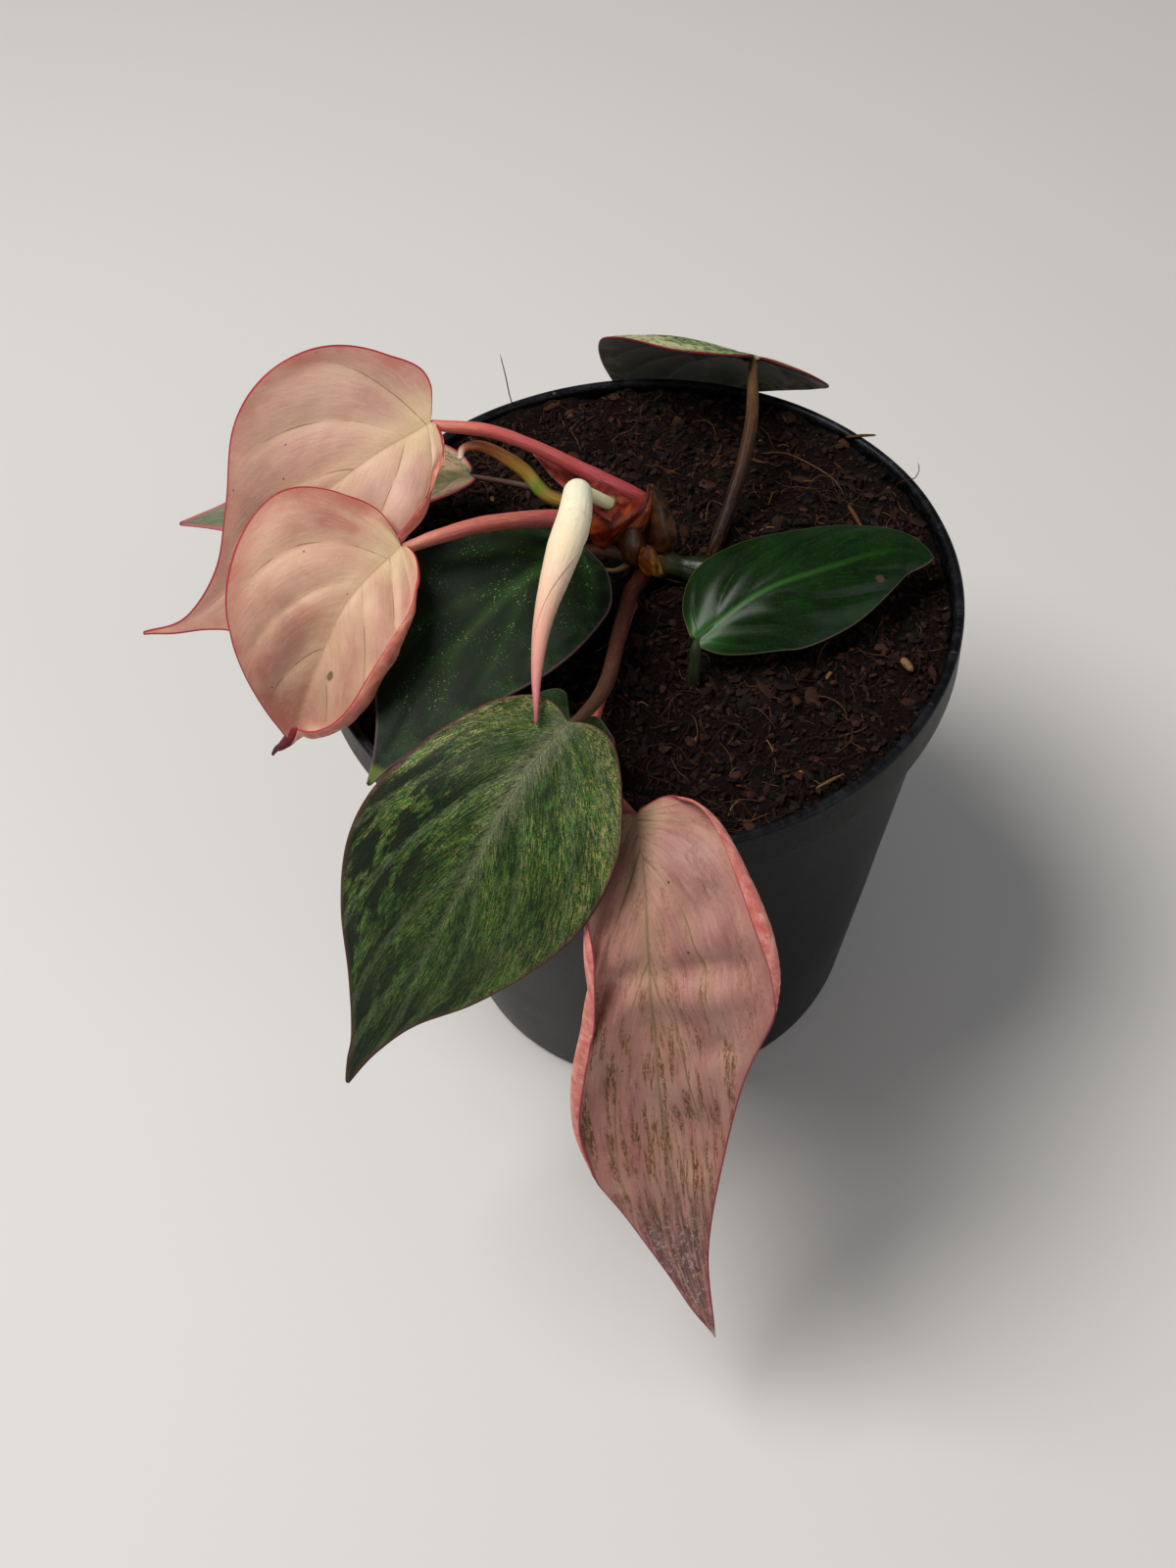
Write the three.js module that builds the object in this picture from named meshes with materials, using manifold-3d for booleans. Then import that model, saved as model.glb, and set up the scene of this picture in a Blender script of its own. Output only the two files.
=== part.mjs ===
// A potted pink variegated micans philodendron: a small climbing plant with heart-shaped leaves,
// growing in a black plastic nursery pot. Millimetres, +Z up. The origin is the middle of the pot's
// base, and the leaves that hang over the front rim point towards -Y.
import * as THREE from 'three';
import Module from 'manifold-3d';
import { mergeVertices } from 'three/addons/utils/BufferGeometryUtils.js';

const wasm = await Module();
wasm.setup();

// Nursery pot
const POT_HEIGHT = 96;
const RIM_RADIUS = 52.5;
const RIM_DEPTH = 8;
const RIM_STEP = 2.2;
const BASE_RADIUS = 37.5;
const RIM_LIP = 1.7;
const RIM_INNER_STEP = 0.8;
const LIP_STEPS = 6;
const WALL = 1.2;
const BASE_THICKNESS = 1.6;
const BASE_CORNER = 1.2;
const POT_SEGMENTS = 64;
const HOLE_COUNT = 8;
const HOLE_RADIUS = 4;
const HOLE_CIRCLE = 27;

// Potting mix
const MIX_GAP = 0.4;
const MIX_NECK = 86.2;
const MIX_COLLAR = 89.2;
const MIX_LEVEL = 92.5;
const MIX_SLOPE = 0.04;
const MIX_BUMP = 0.35;
const MIX_RINGS = 6;
const MIX_SEGMENTS = 48;

// Blades and stalks
const BLADE_THICKNESS = 0.7;
const TIP_INSET = 0.2;
const TIP_HALF_WIDTH = 0.35;
const BLADE_ROWS = 14;
const BLADE_COLUMNS = 5;
const SHEATH_ROWS = 6;
const SHEATH_COLUMNS = 3;
const COLUMN_CROWDING = 1.5;
const CROSS_STEPS = 24;
const CURL_RAMP = 8;
const CURL_BAND = 3;
const CURL_SHARE = 0.6;
const FAN_POWER = 2.8;
const STALK_SIDES = 8;

const ROUGHNESS = { pot: 0.4, mix: 0.95, blade: 0.55, stalk: 0.5, sheath: 0.6 };

const plant = new THREE.Group();

function addMesh(name, geometry, color, roughness) {
  const material = new THREE.MeshStandardMaterial({ color, roughness, metalness: 0 });
  const mesh = new THREE.Mesh(geometry, material);
  mesh.name = name;
  plant.add(mesh);
}

function toSolid(geometry) {
  const plain = geometry.clone();
  plain.deleteAttribute('normal');
  plain.deleteAttribute('uv');
  const merged = mergeVertices(plain);
  return new wasm.Manifold(new wasm.Mesh({
    numProp: 3,
    vertProperties: merged.attributes.position.array,
    triVerts: merged.index.array,
  }));
}

function toGeometry(solid) {
  const mesh = solid.getMesh();
  const geometry = new THREE.BufferGeometry();
  geometry.setAttribute('position', new THREE.BufferAttribute(mesh.vertProperties, 3));
  geometry.setIndex(new THREE.BufferAttribute(mesh.triVerts, 1));
  geometry.computeVertexNormals();
  return geometry;
}

function revolve(profile, segments) {
  const points = profile.map(([r, z]) => new THREE.Vector2(r, z));
  return new THREE.LatheGeometry(points, segments).rotateX(Math.PI / 2);
}

// Outer radius of the pot's wall below the rim, at height z
function wallRadius(z) {
  const top = RIM_RADIUS - RIM_STEP;
  return BASE_RADIUS + (top - BASE_RADIUS) * z / (POT_HEIGHT - RIM_DEPTH);
}

// Nursery pot: one wall that tapers down to a flat base, a deep rolled rim, and drainage holes
function makePot() {
  const skirt = POT_HEIGHT - RIM_DEPTH;
  const roll = RIM_LIP / 2;
  const profile = [
    [0, 0],
    [BASE_RADIUS - BASE_CORNER, 0],
    [BASE_RADIUS, BASE_CORNER],
    [wallRadius(skirt), skirt],
    [RIM_RADIUS, skirt],
  ];
  for (let i = 0; i <= LIP_STEPS; i++) {
    const angle = Math.PI * i / LIP_STEPS;
    profile.push([
      RIM_RADIUS - roll + roll * Math.cos(angle),
      POT_HEIGHT - roll + roll * Math.sin(angle),
    ]);
  }
  profile.push([RIM_RADIUS - RIM_LIP, skirt + RIM_INNER_STEP]);
  profile.push([wallRadius(skirt) - WALL, skirt - WALL]);
  profile.push([wallRadius(BASE_THICKNESS) - WALL, BASE_THICKNESS]);
  profile.push([0, BASE_THICKNESS]);
  let pot = toSolid(revolve(profile, POT_SEGMENTS));
  for (let i = 0; i < HOLE_COUNT; i++) {
    const angle = 2 * Math.PI * i / HOLE_COUNT;
    const hole = new THREE.CylinderGeometry(HOLE_RADIUS, HOLE_RADIUS, 4 * BASE_THICKNESS, 12);
    hole.rotateX(Math.PI / 2);
    hole.translate(HOLE_CIRCLE * Math.cos(angle), HOLE_CIRCLE * Math.sin(angle), 0);
    pot = pot.subtract(toSolid(hole));
  }
  return toGeometry(pot);
}

// Height of the mix's uneven top, which rises a little towards the back
function mixHeight(x, y) {
  const bump = Math.sin(0.21 * x + 1) * Math.cos(0.17 * y) + 0.6 * Math.sin(0.33 * y - 0.19 * x);
  return MIX_LEVEL + MIX_SLOPE * y + MIX_BUMP * bump;
}

// Potting mix: fills the pot to just below its rim, and widens into the rim at its collar
function makeMix() {
  const floor = BASE_THICKNESS + MIX_GAP;
  const mouth = RIM_RADIUS - RIM_LIP - MIX_GAP;
  const profile = [
    [0, floor],
    [wallRadius(floor) - WALL - MIX_GAP, floor],
    [wallRadius(MIX_NECK) - WALL - MIX_GAP, MIX_NECK],
    [mouth, MIX_COLLAR],
  ];
  for (let i = MIX_RINGS; i >= 0; i--) {
    profile.push([mouth * i / MIX_RINGS, MIX_LEVEL]);
  }
  const mix = revolve(profile, MIX_SEGMENTS);
  const place = mix.attributes.position;
  for (let i = 0; i < place.count; i++) {
    if (place.getZ(i) > MIX_COLLAR) {
      place.setZ(i, mixHeight(place.getX(i), place.getY(i)));
    }
  }
  mix.computeVertexNormals();
  return mix;
}

// A stalk: a cylinder bent along a smooth curve, its radius taken from evenly spaced values
function makeStalk(points, radii, steps) {
  const route = points.map((p) => new THREE.Vector3(...p));
  const curve = new THREE.CatmullRomCurve3(route, false, 'catmullrom');
  const frames = curve.computeFrenetFrames(steps, false);
  const stalk = new THREE.CylinderGeometry(1, 1, 1, STALK_SIDES, steps);
  const place = stalk.attributes.position;
  for (let i = 0; i < place.count; i++) {
    const t = place.getY(i) + 0.5;
    const step = Math.round(t * steps);
    const slot = t * (radii.length - 1);
    const before = Math.min(Math.floor(slot), radii.length - 2);
    const radius = THREE.MathUtils.lerp(radii[before], radii[before + 1], slot - before);
    const point = curve.getPointAt(t);
    point.addScaledVector(frames.binormals[step], radius * place.getX(i));
    point.addScaledVector(frames.normals[step], radius * place.getZ(i));
    place.setXYZ(i, point.x, point.y, point.z);
  }
  stalk.computeVertexNormals();
  return stalk;
}

function ramp(x) {
  return THREE.MathUtils.smoothstep(x, 0, 1);
}

// The middle surface of a blade. The spine is the midrib from the stalk to the tip. Each outline
// lists [along the spine, away from it] on the flattened blade. u runs from -1 at the left margin
// through 0 on the midrib to 1 at the right margin, and v from the notch at the stalk to the tip.
// The cross-section turns by fold at the midrib, by bend over its width, and by curl at its margin.
function bladeSurface(blade) {
  const route = blade.spine.map((p) => new THREE.Vector3(...p));
  const spine = new THREE.CatmullRomCurve3(route, false, 'catmullrom');
  const length = spine.getLength();
  const faceStart = new THREE.Vector3(...blade.face[0]);
  const faceEnd = new THREE.Vector3(...blade.face[1]);
  const outlines = [blade.left, blade.right].map((side) => {
    const points = [...side, [length - TIP_INSET, TIP_HALF_WIDTH]].map(([a, w]) => new THREE.Vector2(a, w));
    return new THREE.SplineCurve(points);
  });

  function spinePoint(a) {
    const t = THREE.MathUtils.clamp(a / length, 0, 1);
    const point = spine.getPointAt(t);
    return point.addScaledVector(spine.getTangentAt(t), a - t * length);
  }

  return function surface(u, v) {
    const right = u < 0 ? 0 : 1;
    const sign = right ? 1 : -1;
    const [a, w] = outlines[right].getPointAt(v).toArray();
    const root = length * v ** FAN_POWER;
    const reach = Math.hypot(a - root, w);
    const [curlFrom, curlTo, curlAngle] = blade.curl ? blade.curl[right] : [0, 0, 0];
    const curl = curlAngle * ramp((a - curlFrom) / CURL_RAMP) * ramp((curlTo - a) / CURL_RAMP);
    const band = Math.min(blade.band ?? CURL_BAND, CURL_SHARE * w);
    const t = Math.abs(u);
    let across = 0;
    let rise = 0;
    for (let i = 0; i < CROSS_STEPS; i++) {
      const k = t * (i + 0.5) / CROSS_STEPS;
      const edge = (1 - k) * reach;
      const turn = blade.fold + blade.bend[right] * k + curl * ramp((band - edge) / band);
      across += Math.cos(THREE.MathUtils.degToRad(turn)) * w * t / CROSS_STEPS;
      rise += Math.sin(THREE.MathUtils.degToRad(turn)) * w * t / CROSS_STEPS;
    }
    const along = THREE.MathUtils.lerp(root, a, t);
    const station = THREE.MathUtils.clamp(along / length, 0, 1);
    const tangent = spine.getTangentAt(station);
    const normal = faceStart.clone().lerp(faceEnd, station);
    normal.addScaledVector(tangent, -normal.dot(tangent)).normalize();
    const side = tangent.clone().cross(normal);
    return spinePoint(along).addScaledVector(side, sign * across).addScaledVector(normal, rise);
  };
}

// Splits each four-sided cell of a bent box along its shorter diagonal
function splitShort(geometry) {
  const { index, attributes } = geometry;
  const corner = (i) => new THREE.Vector3().fromBufferAttribute(attributes.position, i);
  for (let i = 0; i < index.count; i += 6) {
    const [a, b, d] = [index.getX(i), index.getX(i + 1), index.getX(i + 2)];
    const c = index.getX(i + 4);
    if (corner(a).distanceTo(corner(c)) < corner(b).distanceTo(corner(d))) {
      [a, b, c, a, c, d].forEach((vertex, k) => index.setX(i + k, vertex));
    }
  }
}

// A blade: a thin box bent onto the blade's middle surface
function makeBlade(blade, rows, columns) {
  const surface = bladeSurface(blade);
  const geometry = new THREE.BoxGeometry(2, 1, 1, 2 * columns, rows, 1);
  const place = geometry.attributes.position;
  const nudge = 0.02;
  for (let i = 0; i < place.count; i++) {
    const flat = place.getX(i);
    const u = Math.sign(flat) * (1 - (1 - Math.abs(flat)) ** COLUMN_CROWDING);
    const v = place.getY(i) + 0.5;
    const alongU = surface(Math.min(u + nudge, 1), v).sub(surface(Math.max(u - nudge, -1), v));
    const alongV = surface(u, Math.min(v + nudge, 1)).sub(surface(u, Math.max(v - nudge, 0)));
    const normal = alongU.cross(alongV).normalize();
    const point = surface(u, v).addScaledVector(normal, place.getZ(i) * BLADE_THICKNESS);
    place.setXYZ(i, point.x, point.y, point.z);
  }
  splitShort(geometry);
  geometry.computeVertexNormals();
  return geometry;
}

// Leaves: each has a blade, and a petiole whose points run from the stem or the mix to the blade
const leaves = {
  upper_pink: {
    color: 0xe6b8a0,
    spine: [[-31, 14, 122], [-43, 7, 119.5], [-59, 3, 107], [-73, 0, 95], [-83, 2, 90]],
    face: [[0, -0.6, 0.8], [0, -0.6, 0.8]],
    right: [[-0.8, 0.9], [-3.2, 5], [-2.5, 9], [3, 14.5], [10, 18.6], [17, 19.4], [25, 16.8],
      [34, 10], [43, 4], [54, 1.2]],
    left: [[-0.8, 0.9], [0, 4.2], [2, 7.6], [9, 13.8], [16, 15.8], [25, 15.8], [36, 13.6],
      [46, 9], [51, 4], [56, 1.4]],
    fold: 8,
    bend: [-8, 12],
    curl: [[3, 24, 80], [0, 0, 0]],
    stalkColor: 0xc8615c,
    stalk: [[0.5, 11.6, 105.6], [-10, 12.2, 113.4], [-16, 12.5, 117.5], [-22, 13, 120.3],
      [-28.4, 13.8, 121]],
    radii: [1.5, 1.25, 1.1, 1.05, 1.1],
  },
  front_pink: {
    color: 0xe0a894,
    spine: [[-36, -5, 114], [-44, -14, 112], [-50, -20.5, 104], [-56, -24, 91]],
    face: [[0, -0.6, 0.8], [0, -0.6, 0.8]],
    right: [[-0.8, 0.9], [-1.8, 6.5], [0.5, 12], [5.5, 17.3], [10, 19], [16, 17.8], [23, 14.8],
      [29, 10.5], [35, 5.2], [38, 1.6]],
    left: [[-0.8, 0.9], [0, 3.4], [3, 6.8], [8, 10.6], [14, 13], [20, 13.8], [26, 12.8],
      [32, 9.8], [36.5, 6]],
    fold: 8,
    bend: [12, 4],
    curl: [[2, 36, 110], [0, 0, 0]],
    band: 4,
    stalkColor: 0xd07a6c,
    stalk: [[-3.6, 7.6, 104.6], [-13, 3.8, 109.6], [-23, -0.3, 113.2], [-30, -3, 113.8],
      [-33.6, -3.6, 113]],
    radii: [1.45, 1.4, 1.4, 1.3, 1.2],
  },
  dark_velvet: {
    color: 0x24391f,
    spine: [[-9, 3, 104], [-19, -6.5, 105.5], [-30, -19, 103], [-42, -38, 97]],
    face: [[0, -0.3, 1], [0, -0.3, 1]],
    right: [[-0.8, 0.9], [-1.5, 6], [4, 10], [12, 13.5], [19, 16.2], [27, 14.8], [35, 10.5],
      [43, 5], [49, 2]],
    left: [[-0.8, 0.9], [0, 6.5], [4, 12], [10, 14.4], [17, 15.2], [24, 14.3], [31, 11.8],
      [40, 7], [48, 2.6]],
    fold: 6,
    bend: [-6, -6],
    stalkColor: 0x7c5a44,
    stalk: [[-2.6, 5.2, 99.6], [-5, 4.4, 101.2], [-7.4, 3.8, 102]],
    radii: [1.1, 1.05, 1],
  },
  large_green: {
    color: 0x54683a,
    spine: [[-11, -40, 112], [-18, -50, 111.5], [-25, -57.5, 103], [-36, -64, 84], [-49, -69, 62]],
    face: [[0, -0.5, 0.8], [0, -0.8, 0.6]],
    right: [[-0.8, 0.9], [-1.5, 5.5], [2.5, 10], [10, 13], [18, 16.6], [27, 18.5], [36, 17.8],
      [46, 14.2], [56, 8.4], [65, 3.6], [70, 2]],
    left: [[-0.8, 0.9], [-2.2, 4], [-1, 8], [5, 13.5], [12, 17], [21, 18.2], [30, 17.3],
      [39, 14.2], [48, 9.8], [57, 4.2], [66, 1.4]],
    fold: 0,
    bend: [-2, -18],
    stalkColor: 0x7a5148,
    stalk: [[0.6, 3.4, 95.3], [-1.2, -2, 97.4], [-3.2, -15, 102.2], [-5.4, -30, 108],
      [-9, -38, 110.6]],
    radii: [1.3, 1.25, 1.2, 1.2, 1.15],
  },
  long_pink: {
    color: 0xc49a90,
    spine: [[-2, -48, 99.6], [-1, -59.4, 98.2], [-1, -70, 85.6], [0, -80, 61], [2, -90, 41],
      [6, -98, 28]],
    face: [[-0.25, -0.5, 0.8], [0, -0.8, 0.6]],
    right: [[-0.8, 0.9], [-0.5, 4.5], [4, 8], [10, 10.2], [20, 11.4], [30, 12.3], [40, 14.6],
      [50, 15], [60, 12.2], [70, 7.4], [80, 3.6], [88, 1.8]],
    left: [[-0.8, 0.9], [-1, 4.5], [2.8, 8.4], [7.4, 12.4], [11, 15.6], [14.5, 18.4],
      [19, 20.8], [24, 21.4], [29, 20.2], [33, 17.8], [37, 15.2], [42, 13.2], [50, 11],
      [62, 7.9], [74, 4.8], [86, 2.1]],
    fold: 6,
    bend: [16, 6],
    curl: [[4, 34, 110], [18, 62, 110]],
    band: 4.5,
    stalkColor: 0xb8604f,
    stalk: [[-1.4, -2, 94.4], [-3.1, -8.5, 95.1], [-5, -17, 96], [-7.4, -25.5, 96.8],
      [-8, -34, 97.4], [-6.2, -41, 97.8], [-3.2, -46, 98.2]],
    radii: [1.1, 1.1, 1.1, 1.1, 1.05, 1.05, 1],
  },
  glossy_green: {
    color: 0x1f4a1a,
    spine: [[9, -13, 98], [19, -7.5, 102], [30, -3.5, 102.5], [41, 0.5, 101.5], [48, 1, 99]],
    face: [[0, -0.3, 1], [0, -0.3, 1]],
    right: [[-0.8, 0.9], [1.5, 4.5], [6, 8], [12, 10.6], [18, 11.2], [25, 10], [32, 7.2],
      [40, 3]],
    left: [[-0.8, 0.9], [1, 6], [4, 9.5], [8, 11.5], [14, 11.4], [21, 10.4], [28, 9], [34, 6.4],
      [40, 3]],
    fold: -8,
    bend: [-24, -16],
    stalkColor: 0x42602c,
    stalk: [[8, -16.4, 93.2], [8.4, -15.2, 95.2], [8.7, -14, 96.8]],
    radii: [1.1, 1, 0.9],
  },
  small_left: {
    color: 0xa58f70,
    spine: [[-27, 22, 103], [-40, 18.5, 104], [-60, 18, 101], [-77, 19.5, 98]],
    face: [[0, -0.3, 1], [0, -0.3, 1]],
    right: [[-0.8, 0.9], [0.5, 4], [4, 7], [10, 9], [18, 9.5], [27, 8.5], [36, 5.5], [44, 2.4]],
    left: [[-0.8, 0.9], [0, 3], [4, 5], [10, 7], [18, 8.2], [27, 7.6], [36, 5], [44, 2.2]],
    fold: 8,
    bend: [6, 6],
    stalkColor: 0x8a6450,
    stalk: [[-5, 13.4, 101.4], [-16, 19.4, 101.4], [-25, 21.8, 102.2]],
    radii: [0.6, 0.6, 0.55],
  },
  olive_under: {
    color: 0x5a5a34,
    spine: [[-11, -31, 100.6], [-14, -40, 102], [-18, -49, 101.5], [-22, -57, 99.5]],
    face: [[0, -0.2, 1], [0, -0.2, 1]],
    right: [[-1, 0.9], [-6.5, 3], [-6, 6], [-1.5, 8.5], [5, 9], [13, 6.5], [21, 2.5]],
    left: [[-1, 0.9], [-3, 3], [-1, 5.5], [2, 7.5], [8, 7.2], [14, 5], [21, 2]],
    fold: 4,
    bend: [-10, -10],
    stalkColor: 0x6a5a38,
    stalk: [[-14, -26, 92.7], [-13.4, -28, 96], [-12, -30, 98.6]],
    radii: [0.9, 0.9, 0.8],
  },
  back: {
    color: 0x4b5e33,
    spine: [[22, 42, 108], [17, 49.5, 103.5], [11, 58.5, 94.5], [5, 65.5, 82.5], [0, 70, 69.5]],
    face: [[0.3, 0.58, 0.75], [0.25, 0.82, 0.5]],
    right: [[-1, 0.9], [-3.6, 7], [-2, 14], [3.5, 20], [12, 20.5], [22, 17.5], [31, 12.5],
      [39, 7.5], [46, 3]],
    left: [[-1, 0.9], [-3.4, 6], [-2.2, 12.4], [4, 18.6], [14, 20.6], [23, 18], [32, 13.5], [40, 8],
      [47, 3]],
    fold: 2,
    bend: [-20, -16],
    stalkColor: 0x7d6350,
    stalk: [[13.6, 11.2, 94.6], [15.4, 15.4, 96.6], [18.6, 22.5, 101.5], [20.6, 30, 104.6],
      [21.4, 39, 106.6]],
    radii: [1.2, 1.15, 1.15, 1.1, 1],
  },
};

// Sheaths: thin dry or translucent scales that once wrapped the young leaves
const sheaths = {
  pink_sheath: {
    color: 0xb8736a,
    spine: [[-7, 10.3, 108], [-11.5, 10.6, 110.8], [-16.3, 13, 113.6]],
    face: [[0, -0.8, 0.6], [0, -0.8, 0.6]],
    right: [[0, 0.5], [3, 0.9], [7, 0.8], [9.5, 0.5]],
    left: [[0, 0.5], [2.5, 1.5], [6.5, 1.3], [9.5, 0.6]],
    fold: 4,
    bend: [8, 8],
  },
  torn_sheath: {
    color: 0xa04a26,
    spine: [[2.2, 9.2, 109.8], [-1.6, 5, 108], [-5.4, 1, 104.4]],
    face: [[0.2, -0.7, 0.8], [0, -0.8, 0.5]],
    right: [[0, 0.6], [2, 3], [5, 3.6], [8, 2], [9, 1]],
    left: [[0, 0.6], [2, 2], [4, 2.4], [7, 1.4], [9, 0.8]],
    fold: -12,
    bend: [-40, -30],
  },
  olive_sheath: {
    color: 0x6b4a2c,
    spine: [[6, 7.4, 97.8], [7, 10, 101.4], [4.8, 13.4, 106.6]],
    face: [[0.8, -0.5, 0.3], [0.8, -0.5, 0.3]],
    right: [[0, 0.6], [3, 2], [6, 2.2], [9, 1]],
    left: [[0, 0.6], [3, 2], [6, 2.2], [9, 1]],
    fold: -10,
    bend: [-30, -30],
  },
  papery_sheath: {
    color: 0xa8702e,
    spine: [[3.4, 4.2, 99.4], [3.6, 3, 97.2], [3.4, 1.8, 94.8]],
    face: [[0, -0.9, 0.5], [0, -0.9, 0.3]],
    right: [[0, 0.4], [1.5, 1], [3, 1], [4.2, 0.5]],
    left: [[0, 0.4], [1.5, 1], [3, 1], [4.2, 0.5]],
    fold: -10,
    bend: [-30, -30],
  },
};

// Stalks without a blade: the stem with its swollen nodes, and what grows straight out of it
const stalks = {
  main_stem: {
    color: 0x6d5a34,
    points: [[12.6, 3.4, 95], [8, 5, 95.4], [3.2, 6.6, 96.4], [0, 8, 98], [0.3, 9.2, 101],
      [0.5, 9.6, 102.4]],
    radii: [1.9, 1.8, 2.1, 2, 1.8, 1.6],
    steps: 14,
  },
  aerial_root: {
    color: 0xb59a6c,
    points: [[-2.6, 6.8, 96], [-4.6, 6.6, 95], [-6.6, 6, 94.2]],
    radii: [0.5, 0.45, 0.25],
    steps: 5,
  },
  new_leaf_stalk: {
    color: 0xd8cfa4,
    points: [[-3.6, 9.2, 110], [-5.2, 8.6, 110.8], [-6.9, 7.7, 111.6]],
    radii: [1, 1, 0.9],
    steps: 5,
  },
  new_leaf_roll: {
    color: 0xe8d8b4,
    points: [[-8.4, 5.6, 115], [-9.2, -2.6, 115.6], [-11.6, -13, 116], [-13.9, -23, 115.9],
      [-15, -32.4, 115.6], [-15.3, -42.2, 114.6]],
    radii: [1.5, 2.6, 2.75, 2.2, 1.5, 1.1, 0.65, 0.2],
    steps: 16,
  },
  hooked_tube: {
    color: 0xa8964a,
    points: [[-5.4, 11, 104.6], [-13, 10, 108], [-17.5, 12.4, 112.6], [-23, 14, 116],
      [-26.2, 12.6, 117.4], [-27, 10.6, 116.6]],
    radii: [1, 1.05, 1, 0.95, 0.8, 0.4],
    steps: 16,
  },
};

addMesh('nursery_pot', makePot(), 0x101114, ROUGHNESS.pot);
addMesh('potting_mix', makeMix(), 0x2a1a12, ROUGHNESS.mix);
for (const [name, leaf] of Object.entries(leaves)) {
  const blade = makeBlade(leaf, BLADE_ROWS, BLADE_COLUMNS);
  const petiole = makeStalk(leaf.stalk, leaf.radii, 3 * leaf.stalk.length);
  addMesh(`blade_${name}`, blade, leaf.color, ROUGHNESS.blade);
  addMesh(`petiole_${name}`, petiole, leaf.stalkColor, ROUGHNESS.stalk);
}
for (const [name, sheath] of Object.entries(sheaths)) {
  addMesh(name, makeBlade(sheath, SHEATH_ROWS, SHEATH_COLUMNS), sheath.color, ROUGHNESS.sheath);
}
for (const [name, { color, points, radii, steps }] of Object.entries(stalks)) {
  addMesh(name, makeStalk(points, radii, steps), color, ROUGHNESS.stalk);
}

export default plant;
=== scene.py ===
# A potted pink variegated micans philodendron. Tables and routes are in millimetres, in the frame
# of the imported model: +Z up, the origin under the middle of the pot, -Y towards the front.
import math
import random

import bpy
import numpy as np
from mathutils import Matrix, Vector


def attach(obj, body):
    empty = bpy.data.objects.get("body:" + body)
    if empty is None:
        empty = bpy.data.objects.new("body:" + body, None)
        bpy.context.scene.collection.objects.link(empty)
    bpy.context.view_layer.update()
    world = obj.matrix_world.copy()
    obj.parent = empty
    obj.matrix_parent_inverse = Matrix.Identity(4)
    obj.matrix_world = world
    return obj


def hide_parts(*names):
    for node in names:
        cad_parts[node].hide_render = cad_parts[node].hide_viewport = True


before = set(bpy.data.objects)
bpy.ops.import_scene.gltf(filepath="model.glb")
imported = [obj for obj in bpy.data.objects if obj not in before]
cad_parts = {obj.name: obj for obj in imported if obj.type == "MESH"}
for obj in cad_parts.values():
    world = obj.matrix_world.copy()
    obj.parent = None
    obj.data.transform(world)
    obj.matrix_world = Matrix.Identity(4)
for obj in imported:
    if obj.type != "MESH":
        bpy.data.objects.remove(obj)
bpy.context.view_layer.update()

MM = 0.001

# Stage, in millimetres, and the point that the lights face, in metres
FLOOR_HALF_WIDTH = 6000
LIT_POINT = (-0.01, -0.02, 0.09)

# Camera: the photograph's, fitted to the pot's rim and wall
EYE = (0, -209, 317)
VIEW_YAW = math.radians(-3.0)
VIEW_PITCH = math.radians(52.4)
VIEW_ROLL = math.radians(-5.3)
FOCAL_PIXELS = 1900
FRAME_HEIGHT_PIXELS = 1600
SENSOR = 36

# Nursery pot
POT_HEIGHT = 96
RIM_RADIUS = 52.5
RIM_DEPTH = 8
RIM_STEP = 2.2
RIM_LIP = 1.7
BASE_RADIUS = 37.5
WALL = 1.2
BASE_THICKNESS = 1.6
BASE_CORNER = 1.2
EDGE_RADIUS = 0.5
AXIS_GAP = 0.001
FOOT_WIDTH = 6
POT_SEGMENTS = 192
HOLE_COUNT = 8
HOLE_RADIUS = 4
HOLE_CIRCLE = 27

# Potting mix
MIX_LEVEL = 92.5
MIX_SLOPE = 0.04
MIX_BUMP = 0.35
MIX_FLOOR = 2
MIX_CLEARANCE = 0.15
MIX_RINGS = 96
MIX_SEGMENTS = 384
FIBRE_STEPS = 7
FIBRE_REST = 0.12

# Blades and stalks
BLADE_THICKNESS = 0.42
TIP_INSET = 0.2
TIP_HALF_WIDTH = 0.35
HALF_COLUMNS = 46
COLUMN_CROWDING = 0.55
ROWS_PER_MM = 1.6
CROSS_STEPS = 24
CURL_SHARE = 0.8
CURL_END = 0.06
VEIN_ARCH = 0.75
SHEATH_THICKNESS = 0.2
SHEET_ROWS = 56
RAGGED = 0.22
CRUMPLE = 0.07
SOAK_DEPTH = 2
FAN_POWER = 2.8
FOLD_WIDTH = 4
EDGE_ROUND = 0.3
MIDRIB_HEIGHT = 0.7
MIDRIB_GROOVE = 0.2
GROOVE_HALF_WIDTH = 0.9
SIDE_VEIN_HEIGHT = 0.14
SIDE_VEIN_HALF_WIDTH = 0.45
# Added to the share between the veins on the right half, so that the halves' patterns differ
RIGHT_SIDE = 10

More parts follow.
